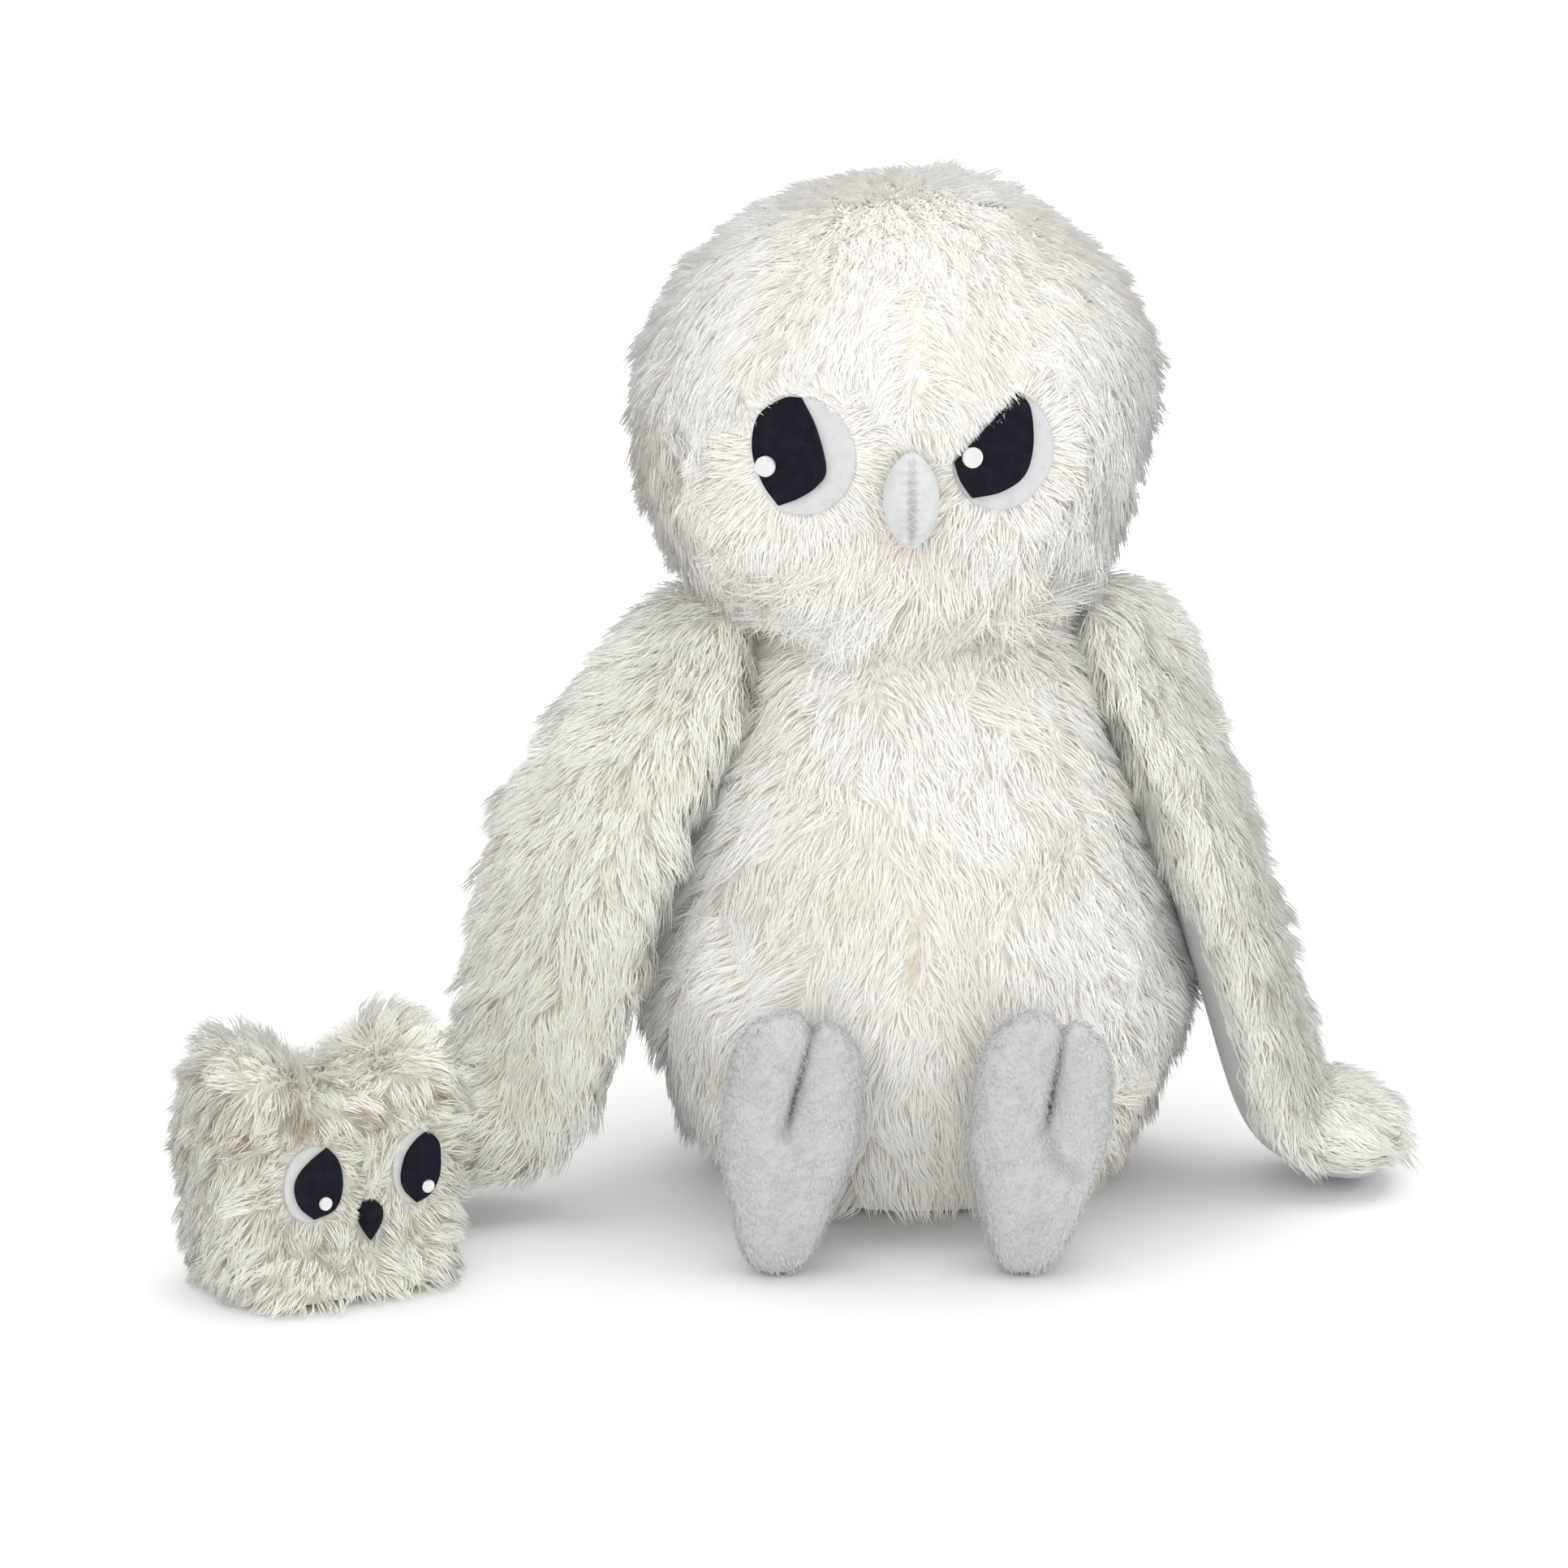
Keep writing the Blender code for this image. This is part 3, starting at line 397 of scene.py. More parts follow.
def grow_pile(name, ground, body, material, strands, length, comb, trim, seed,
              lift, width, tuft, gather, swirl, swirl_size, panels=1, stray=0.12, crease_shade=None):
    """Pile on a ground mesh, in panels cut round the upright axis.

    comb gives the way that the pile lies at each place, trim the share of its length, and
    the last function how far the pile is darkened by painted shade in creases, towards the deep colour of
    its roots.
    A tuft is that many strands, whose tips gather to the one in their middle.
    """
    rng = np.random.default_rng(seed)
    root, outward = scatter(ground, strands, rng)
    share = trim(root, outward)
    kept = share > shortest_share
    root, outward, share = root[kept], outward[kept], share[kept]
    count = len(root)
    middle = rng.choice(count, max(1, count // tuft), replace=False)
    tree = KDTree(len(middle))
    for i, m in enumerate(middle):
        tree.insert(root[m], i)
    tree.balance()
    own = np.array([tree.find(p)[1] for p in root])
    turned = np.array([noise.noise_vector(Vector(root[m]) / swirl_size) for m in middle])
    turned += rng.normal(0, tuft_turn, turned.shape)
    lie = unit(comb(root, outward)) + swirl * turned[own] + rng.normal(0, strand_turn, root.shape)
    lie = unit(lie - outward * (lie * outward).sum(axis=1, keepdims=True))
    size = length * share * (1 + rng.normal(0, tuft_size_odds, len(middle)))[own]
    size = size * rng.uniform(*strand_sizes, count)
    rise = lift + rng.normal(0, tuft_rise_odds, len(middle))[own] + rng.normal(0, strand_rise_odds, count)
    rise = np.radians(rise)
    rows = (root[:, None]
            + outward[:, None] * (size * np.sin(rise))[:, None, None] * bend_up[None, :, None]
            + lie[:, None] * (size * np.cos(rise))[:, None, None] * bend_out[None, :, None])
    rows += (rows[middle[own]] - rows) * (gather * strand_pull)[None, :, None]
    side = np.cross(lie, outward)
    sway = side * (size * rng.normal(0, strand_sway, count))[:, None]
    rows[:, 1] += sway
    rows[:, 2] -= sway * tip_sway
    rows[:, 1:, 2] = np.maximum(rows[:, 1:, 2], seat_lift)
    side = unit(side)
    upper = unit(np.cross(rows[:, 2] - rows[:, 0], side))
    along = strand_points[:, 2]
    row_of = np.rint(along * 2).astype(int)
    thick = width * strand_widths[row_of]
    across = np.zeros((len(strand_points), 2))
    lengths = np.linalg.norm(strand_points[:, :2], axis=1)
    solid = lengths > 0.1
    across[solid] = strand_points[solid, :2] / lengths[solid, None]
    points = rows[:, row_of] + thick[None, :, None] * (
        side[:, None] * across[None, :, :1] + upper[:, None] * across[None, :, 1:])
    # Painted shade along each strand: dark at the root, light at the tip, and darker for whole tufts.
    tone_and_shade = np.clip(along[None] + rng.normal(0, tone_odds, (count, 1)), 0, 1)
    tone_and_shade = tone_and_shade * rng.uniform(*tuft_tones, len(middle))[own][:, None]
    stray_and_shade = rng.normal(stray_start, stray, len(middle))[own]
    stray_and_shade = np.clip(stray_and_shade + rng.normal(stray_start, stray * strand_stray_share, count), 0, 1)
    # Painted shade in creases: the pile is darkened and mixed towards the stray colour.
    if crease_shade:
        depth = crease_shade(root, outward)
        tone_and_shade = tone_and_shade * (1 - crease_shade_depth * depth)[:, None]
        stray_and_shade = np.maximum(stray_and_shade, depth)
    turn = np.argsort(np.arctan2(root[:, 1] - root[:, 1].mean(), root[:, 0] - root[:, 0].mean()))
    made = []
    for part, chosen in enumerate(np.array_split(turn, panels)):
        label = name if panels == 1 else f"{name}_{part + 1}"
        panel = show(
            label, strand_mesh(points[chosen], tone_and_shade[chosen], stray_and_shade[chosen], outward[chosen]),
            material, body)
        panel.visible_shadow = False
        made.append(panel)
    return made


normal_blend = 3.0
lowest_facing = -0.15


def strand_mesh(points, tone_and_shade, stray_and_shade, outward):
    """One mesh of many strands, each with its own cell of the bake map."""
    count, each = points.shape[:2]
    faces = (strand_faces[None] + np.arange(count)[:, None, None] * each).reshape(-1, 3)
    mesh = bpy.data.meshes.new("pile")
    mesh.vertices.add(count * each)
    mesh.vertices.foreach_set("co", points.ravel())
    mesh.loops.add(faces.size)
    mesh.loops.foreach_set("vertex_index", faces.ravel())
    mesh.polygons.add(len(faces))
    mesh.polygons.foreach_set("loop_start", np.arange(0, faces.size, 3))
    mesh.update(calc_edges=True)
    # The numbers that paint shade along each strand and in creases, and mark stray strands.
    mark_points(mesh, "tone_and_shade", tone_and_shade.ravel())
    mark_points(mesh, "stray", np.repeat(stray_and_shade, each))
    cells = math.ceil(math.sqrt(count))
    number = np.arange(count)
    low = np.stack((number % cells, number // cells), axis=1) / cells
    corners = low[:, None, None] + strand_map[None] / cells
    mesh.uv_layers.new(name="OFBake").data.foreach_set("uv", corners.ravel())
    mesh.shade_smooth()
    own = np.empty(count * each * 3)
    mesh.vertices.foreach_get("normal", own)
    faced = outward.copy()
    faced[:, 2] = np.maximum(faced[:, 2], lowest_facing)
    soft = unit(own.reshape(count, each, 3) + normal_blend * faced[:, None])
    mesh.normals_split_custom_set_from_vertices(soft.reshape(-1, 3))
    return mesh


def body_rings(inset):
    """Rings of the body's form, from the seat to the top, drawn in by inset but not at the seat."""
    rings = []
    for height_share, width_share in body_low_shares:
        half = belly_half_width * width_share - inset
        rings.append(level_ring(height_share * belly_height + seat_lift, half, half * body_depth_share))
    rings.append(level_ring(side_height, side_half_width - inset, side_half_width - inset))
    for angle in dome_angles:
        radius = dome_radius - inset
        rings.append(level_ring(
            neck_height + radius * math.cos(angle), radius * math.sin(angle), radius * math.sin(angle)))
    return rings


body_inset = 0.0048
body_skin = show(
    "body_skin", smooth_mesh(ring_cage(body_rings(body_inset), sides=6), levels=4), cream_pile, "body",
    "body_cover")

leg_x = (-0.035, 0.032)
leg_height = 0.0205
leg_radius = 0.0110
seam_low, seam_high = 0.040, 0.084
seam_half_width = 0.0022
belly_parting = (-0.0015, 0.072, 0.101)
belly_brushed = (-0.0015, 0.074, 0.106)
parting_ease = 0.006
belly_brush_width, belly_brush_share = 0.005, 0.6
# Width of the painted shade in the belly's parting.
belly_crease_width = 0.0011
belly_gap_width, belly_gap_share = 0.0009, 0.6
side_comb_reach, side_comb, back_comb = 0.05, 0.25, 0.15
# Painted shade under the head at the neck, and low down towards the floor.
neck_shade_height, neck_shade_ease, neck_shade_share = 0.158, 0.014, 0.25
seat_shade_height, seat_shade_share = 0.030, 0.35
bare_below, bare_above, bare_facing_down = 0.003, 0.175, -0.55


def ramp(value, start, width):
    """0 at start and 1 at start + width, and level beyond. A negative width goes down from start."""
    return np.clip((value - start) / width, 0, 1)


def both_ways(value, width):
    """0 in the middle, and -1 and 1 a width away on its two sides."""
    return np.clip(value / width, -1, 1)


def hill(value, width):
    """1 in the middle, and next to nothing two widths away."""
    return np.exp(-(value / width) ** 2)


def parting(root, x, low, high, half_width):
    """How near each root on the front is to an upright line where the pile parts."""
    height = ramp(root[:, 2], low, parting_ease) * ramp(root[:, 2], high, -parting_ease)
    return hill(root[:, 0] - x, half_width) * height * (root[:, 1] < 0)


def brushed_aside(root, line, half_width, amount):
    """How far the pile beside a parting is brushed to either side."""
    return np.sign(root[:, 0] - line[0]) * parting(root, *line, half_width) * amount


def body_comb(root, outward):
    """Down the body and a little away from its middle, and off the parting on the belly."""
    lie = np.zeros_like(root)
    lie[:, 2] = -1
    lie[:, 0] = both_ways(root[:, 0], side_comb_reach) * side_comb
    lie[:, 1] = both_ways(root[:, 1], side_comb_reach) * back_comb
    lie[:, 0] += brushed_aside(root, belly_brushed, belly_brush_width, belly_brush_share)
    return lie


def body_crease_shade(root, outward):
    """Painted shade in the belly's parting, at the neck under the head, and low down between the legs."""
    neck_shade = ramp(root[:, 2], neck_shade_height, neck_shade_ease) * neck_shade_share
    seat_shade = ramp(root[:, 2], seat_shade_height, -seat_shade_height) * seat_shade_share
    belly_shade = parting(root, *belly_parting, belly_crease_width)
    return np.maximum(np.maximum(belly_shade, neck_shade), seat_shade)


def body_trim(root, outward):
    """No pile under the seat and head, where the legs are sewn on, or in the seam at the back."""
    share = np.ones(len(root))
    height = root[:, 2]
    share[(outward[:, 2] < bare_facing_down) | (height < bare_below) | (height > bare_above)] = 0
    for x in leg_x:
        off = np.hypot(root[:, 0] - x, height - leg_height)
        share[(off < leg_radius) & (root[:, 1] < 0)] = 0
    share *= 1 - belly_gap_share * parting(root, *belly_parting, belly_gap_width)
    seam = (np.abs(root[:, 0]) < seam_half_width) & (root[:, 1] > 0)
    share[seam & (height > seam_low) & (height < seam_high)] = 0
    return share


grow_pile(
    "body_pile", body_skin.data, "body", cream_pile, strands=62000, length=0.0118,
    comb=body_comb, trim=body_trim, seed=11, lift=31, tuft=32, gather=0.34, swirl=0.95,
    swirl_size=0.027, width=0.00027, panels=4, stray=0.08, crease_shade=body_crease_shade)

# Head
# A wide lopsided sack of the same plush, drawn in at the neck over the body's round top.
# The pile flows down the face from the crown, and is brushed away from the eyes and beak.
head_half_width = 0.0755
head_half_depth = 0.0640
head_bottom = 0.162
head_height = 0.132
head_shift = -0.005
head_shares = (
    (0.0, 0.44, 1.1), (0.070, 0.71, 1.3), (0.158, 0.86, 1.5), (0.287, 0.945, 1.6),
    (0.466, 1.0, 1.4), (0.674, 0.905, 1.05), (0.845, 0.600, 0.95), (0.980, 0.24, -0.3))
head_depth_share = head_half_depth / head_half_width
cup_ease = 0.0006
pile_depth = 0.0070
eye_spots = ((-0.0360, 0.2180), (0.0220, 0.2195))
eye_radius = 0.0166
beak_height = 0.2080
beak_middle = -0.0032
beak_width = 0.0152
beak_length = 0.0266
beak_depth = 0.0150


def head_rings(inset):
    """Rings of the head's form, from its underside to its crown, drawn in by inset."""
    rings = []
    for i, (height_share, width_share, shift_share) in enumerate(head_shares):
        half = head_half_width * width_share - inset
        z = head_bottom + head_height * height_share
        if i == 0:
            z += inset * 0.6
        if i == len(head_shares) - 1:
            z -= inset
        rings.append(level_ring(z, half, half * head_depth_share, head_shift * shift_share))
    return rings


cup_mesh = bmesh.new()
bmesh.ops.create_uvsphere(cup_mesh, u_segments=64, v_segments=32, radius=dome_radius + cup_ease)
bmesh.ops.translate(cup_mesh, verts=cup_mesh.verts, vec=neck)
cup = placed("cup", mesh_of(cup_mesh))
head_mesh = smooth_mesh(ring_cage(head_rings(pile_depth), sides=6), levels=4, cutter=cup)
bpy.data.meshes.remove(cup.data)


def head_face(x, z):
    """A point on the front of the head's form, and the way that the form faces there."""
    reach_x = x - head_shift
    y = -head_half_depth * math.sqrt(1 - (reach_x / head_half_width) ** 2)
    outward = Vector((reach_x / head_half_width ** 2, y / head_half_depth ** 2, 0))
    return Vector((x, y, z)), outward.normalized()


def facing(point, outward):
    """A place whose Z axis points along outward, with its Y axis as near upright as can be."""
    x_axis = Z.cross(outward).normalized()
    y_axis = outward.cross(x_axis)
    turn = Matrix((x_axis, y_axis, outward)).transposed().to_4x4()
    return Matrix.Translation(point) @ turn


def smooth_outline(points, steps=8):
    """A closed outline through the points, curved but for the corners, marked 1."""
    spots = np.array([p[:2] for p in points], float)
    count = len(spots)
    tangents = (np.roll(spots, -1, axis=0) - np.roll(spots, 1, axis=0)) / 2
    outline = []
    for i in range(count):
        j = (i + 1) % count
        chord = spots[j] - spots[i]
        start = chord if points[i][2] else tangents[i]
        end = chord if points[j][2] else tangents[j]
        for step in range(steps):
            t = step / steps
            outline.append(
                (2 * t ** 3 - 3 * t ** 2 + 1) * spots[i] + (t ** 3 - 2 * t ** 2 + t) * start
                + (3 * t ** 2 - 2 * t ** 3) * spots[j] + (t ** 3 - t ** 2) * end)
    return outline


def reach_of(outline, x, y):
    """How far an outline round (0, 0) reaches towards each of the points."""
    spots = np.array(outline)
    turn = np.arctan2(spots[:, 1], spots[:, 0])
    order = np.argsort(turn)
    reach = np.hypot(spots[:, 0], spots[:, 1])
    return np.interp(np.arctan2(y, x), turn[order], reach[order], period=math.tau)


crown_back = 0.034
brow_crease = (-0.0010, 0.231, 0.257)
brow_brushed = (-0.0010, 0.229, 0.266)
eye_places = [facing(*head_face(x, z)) for x, z in eye_spots]
disc_shares = (
    ((0.26, 0.966, 0), (0.707, 0.707, 0), (0.966, 0.259, 0), (0.966, -0.259, 0), (0.707, -0.707, 0),
     (0.259, -0.966, 0), (-0.26, -0.95, 0), (-0.52, -0.74, 0), (-0.68, -0.42, 0), (-0.79, 0.07, 0),
     (-0.70, 0.62, 0), (-0.27, 0.96, 0)),
    ((0.42, 0.93, 0), (0.74, 0.69, 0), (0.966, 0.259, 0), (0.966, -0.259, 0), (0.707, -0.707, 0),
     (0.259, -0.966, 0), (-0.22, -0.92, 0), (-0.52, -0.72, 0), (-0.70, -0.42, 0), (-0.77, -0.13, 1),
     (-0.24, 0.44, 0), (0.30, 0.95, 1)))
disc_outlines = [np.array(smooth_outline(shares)) * eye_radius for shares in disc_shares]
brow_ways = (Vector((-0.25, 0.97)), Vector((-0.69, 0.72)))
brow_falls = (Vector((0.9, -0.5, 0.0)), Vector((0.55, -0.84, -0.05)))
brow_length_shares = (0.20, 0.30)
socket_ease = 0.0006
socket_slope = 0.7


def seen_from(place, points):
    """Points in the axes of a place, such as across, up and out of the plane of an eye."""
    turned = np.array(place.inverted())
    return points @ turned[:3, :3].T + turned[:3, 3]


def press_sockets(mesh):
    """Presses a shallow socket into the head for each eye, and leaves the head's back alone."""
    points = points_of(mesh)
    for place in eye_places:
        x, y, z = seen_from(place, points).T
        off = np.hypot(x, y)
        limit = -pile_depth - socket_ease + np.clip(off - eye_radius, 0, 1) * socket_slope
        limit = limit + (off > eye_radius * 2)
        sunk = np.where(points[:, 1] < 0, np.minimum(z, limit), z) - z
        points += sunk[:, None] * np.array(place.to_3x3())[:, 2]
    move_points(mesh, points)


press_sockets(head_mesh)
head_skin = show("head_skin", head_mesh, cream_pile, "head", "head_cover")


side_flow_width, side_flow = 0.03, 0.65
back_flow_width, back_flow = 0.02, 0.8
brow_brush_width, brow_brush_share = 0.006, 1.3
# Width of the painted shade in the groove above the beak.
brow_crease_width = 0.0009
brow_gap_width, brow_gap_share = 0.0012, 0.8
eye_comb_reach, eye_comb_ease, eye_comb_share = 0.030, 0.010, 1.2
eye_edge_share, eye_edge_ease, eye_edge_overlap = 0.45, 0.012, 0.0008
beak_bare, beak_short = 0.85, 1.9
chin_top, chin_ease, chin_half_width, chin_growth = 0.188, 0.012, 0.040, 0.95


def under_brow(x, y, off, way):
    """How far a place round an eye lies under its brow, which is way from the eye's middle."""
    return ramp((x * way[0] + y * way[1]) / np.maximum(off, 1e-6), 0.55, 0.25)


def oval_distance(across, height, width, length):
    """Distance from the middle of an oval, 1 being its edge."""
    return np.hypot(across / (width / 2), height / (length / 2))


def head_comb(root, outward):
    """Down from the crown and out to the sides, and round the eyes away from their discs."""
    lie = np.zeros_like(root)
    lie[:, 2] = -1
    lie[:, 0] = both_ways(root[:, 0] - beak_middle, side_flow_width) * side_flow
    lie[:, 1] = both_ways(root[:, 1] - crown_back, back_flow_width) * back_flow
    lie[:, 0] += brushed_aside(root, brow_brushed, brow_brush_width, brow_brush_share)
    front = root[:, 1] < 0
    for place, way, fall in zip(eye_places, brow_ways, brow_falls):
        x, y, z = seen_from(place, root).T
        off = np.hypot(x, y)
        near = ramp(off, eye_comb_reach, -eye_comb_ease) * front
        brow = under_brow(x, y, off, way)
        axes = np.array(place.to_3x3())
        out = (axes[:, 0] * (x / np.maximum(off, 1e-6))[:, None]
               + axes[:, 1] * (y / np.maximum(off, 1e-6))[:, None])
        over = axes @ np.array(fall)
        amount = (near * (1 - brow))[:, None]
        lie = lie * (1 - amount) + out * amount * eye_comb_share
        amount = (near * brow)[:, None]
        lie = lie * (1 - amount) + over[None] * amount
    return lie


def head_trim(root, outward):
    """No pile under the eyes and beak or in the neck's cup, short round them, long at the chin."""
    share = np.ones(len(root))
    share[np.linalg.norm(root - np.array(neck), axis=1) < dome_radius + 0.002] = 0
    front = root[:, 1] < 0
    for place, way, outline, brow_share in zip(eye_places, brow_ways, disc_outlines, brow_length_shares):
        x, y, z = seen_from(place, root).T
        off = np.hypot(x, y)
        edge = reach_of(outline, x, y)
        brow = under_brow(x, y, off, way)
        low = eye_edge_share * (1 - brow) + brow_share * brow
        local = low + (1 - low) * ramp(off - edge, 0, eye_edge_ease)
        local[off < edge - eye_edge_overlap] = 0
        share[front] = np.minimum(share, local)[front]
    off = oval_distance(root[:, 0] - beak_middle, root[:, 2] - beak_height, beak_width, beak_length)
    share[front & (off < beak_bare)] = 0
    near = front & (off >= beak_bare) & (off < beak_short)
    share[near] *= 0.5 + 0.5 * (off[near] - beak_bare) / 1.05
    chin = ramp(root[:, 2], chin_top, -chin_ease) * hill(root[:, 0] - beak_middle, chin_half_width)
    share *= 1 - brow_gap_share * parting(root, *brow_crease, brow_gap_width)
    return share * (1 + chin_growth * chin * front)


def head_crease_shade(root, outward):
    """Painted shade in the groove above the beak and round the beak."""
    off = oval_distance(root[:, 0] - beak_middle, root[:, 2] - beak_height, beak_width, beak_length)
    beak_shade = ramp(off, 1.5, -0.5) * (root[:, 1] < 0) * 0.6
    return np.maximum(beak_shade, parting(root, *brow_crease, brow_crease_width))


grow_pile(
    "head_pile", head_skin.data, "head", cream_pile, strands=60000, length=0.0115,
    comb=head_comb, trim=head_trim, seed=12, lift=28, tuft=24, gather=0.32, swirl=0.55,
    swirl_size=0.016, width=0.00026, panels=4, stray=0.08, crease_shade=head_crease_shade)

# Wings
# Flat sacks, grey-green long-pile plush outside and short velour against the body. The one
# on the left turns round behind the baby, and the other rests its hand on the ground.
wing_top_height = 0.156
wing_standoff = 0.0026
wing_half_width = 0.0305
wing_half_thickness = 0.0135
wing_bend_radius = 0.022
wing_shares = ((0.40, 0.98, 1.0, 0.9), (0.72, 0.97, 1.0, 1.0), (1.0, 0.86, 1.0, 1.0))
hand_shares = ((0.80, 1.0, 1.0), (0.76, 1.0, 0.7), (0.48, 0.70, 0.3))
lining_thickness = 0.0012
# The first colour is painted shade at the roots; the fourth is for stray strands.
grey_pile = pile_material(
    "grey_pile", (0.70, 0.685, 0.59), (0.925, 0.925, 0.855), (0.86, 0.86, 0.785), (0.54, 0.49, 0.38),
    70.0, 0.3)


def make_nap_group():
    """Short brushed cloth: fine grain, soft patches painted in shade where the nap lies another way, and
    painted shade in creases.
    """
    group, given, result = new_group(
        "nap",
        (("Color", "NodeSocketColor", (0.5, 0.5, 0.5, 1)),
         ("Shade Color", "NodeSocketColor", (0.3, 0.3, 0.3, 1)),
         ("Crease Shade Color", "NodeSocketColor", (0.2, 0.2, 0.2, 1)),
         ("Grain Scale", "NodeSocketFloat", 900.0),
         ("Patch Scale", "NodeSocketFloat", 90.0)),
        (("Color", "NodeSocketColor"), ("Height", "NodeSocketFloat")))
    grain = cloud(group, given.outputs["Grain Scale"], 4.0)
    patches = cloud(group, given.outputs["Patch Scale"], 5.0)
    # Patches where the nap lies another way are painted darker, standing in for how they catch the light.
    nap_patch_shade = mix_colour(
        group, spread(group, patches, 0.38, 0.72), given.outputs["Color"], given.outputs["Shade Color"])
    fine = mix_colour(group, spread(group, grain, 0.50, 0.95), nap_patch_shade, given.outputs["Shade Color"])
    # Painted shade where a piece marks its creases.
    deep = mix_colour(group, point_mark(group, "crease_shade"), fine, given.outputs["Crease Shade Color"])
    group.links.new(deep, result.inputs["Color"])
    group.links.new(grain, result.inputs["Height"])
    return group


nap_group = make_nap_group()

# How dark painted shade in creases is, as a share of a cloth's shade colour.
crease_shade_share = 0.55


def nap_material(name, colour, shade, grain_scale, patch_scale, bump, sheen=0.3, roughness=0.9):
    """A short-napped cloth, bump being the height of its grain in metres."""
    look = {"Color": colour, "Shade Color": shade, "Grain Scale": grain_scale, "Patch Scale": patch_scale,
            "Crease Shade Color": tuple(value * crease_shade_share for value in shade)}
    finish = {"Roughness": roughness, "Specular IOR Level": 0.2, "Sheen Weight": sheen,
              "Sheen Roughness": 0.5}
    material, shader, weave = cloth(name, nap_group, look, finish)
    grain = {"Distance": bump, "Strength": 0.6, "Height": weave.outputs["Height"]}
    relief = add_node(material.node_tree, "Bump", grain)
    feed(material.node_tree, shader, {"Normal": relief.outputs["Normal"]})
    return material


fibre = nap_material("fibre", (0.86, 0.86, 0.84), (0.70, 0.70, 0.68), 500.0, 120.0, 0.001)
velour = nap_material("grey_velour", (0.54, 0.55, 0.545), (0.48, 0.495, 0.49), 1500.0, 160.0, 0.0006)


def filling(mesh, inset, body, node):
    """Stuffing that fills a form to just under its cloth."""
    outward = np.array([v.normal[:] for v in mesh.vertices])
    move_points(mesh, points_of(mesh) - outward * inset)
    return show(f"{node}_fibre", mesh, fibre, body, node)


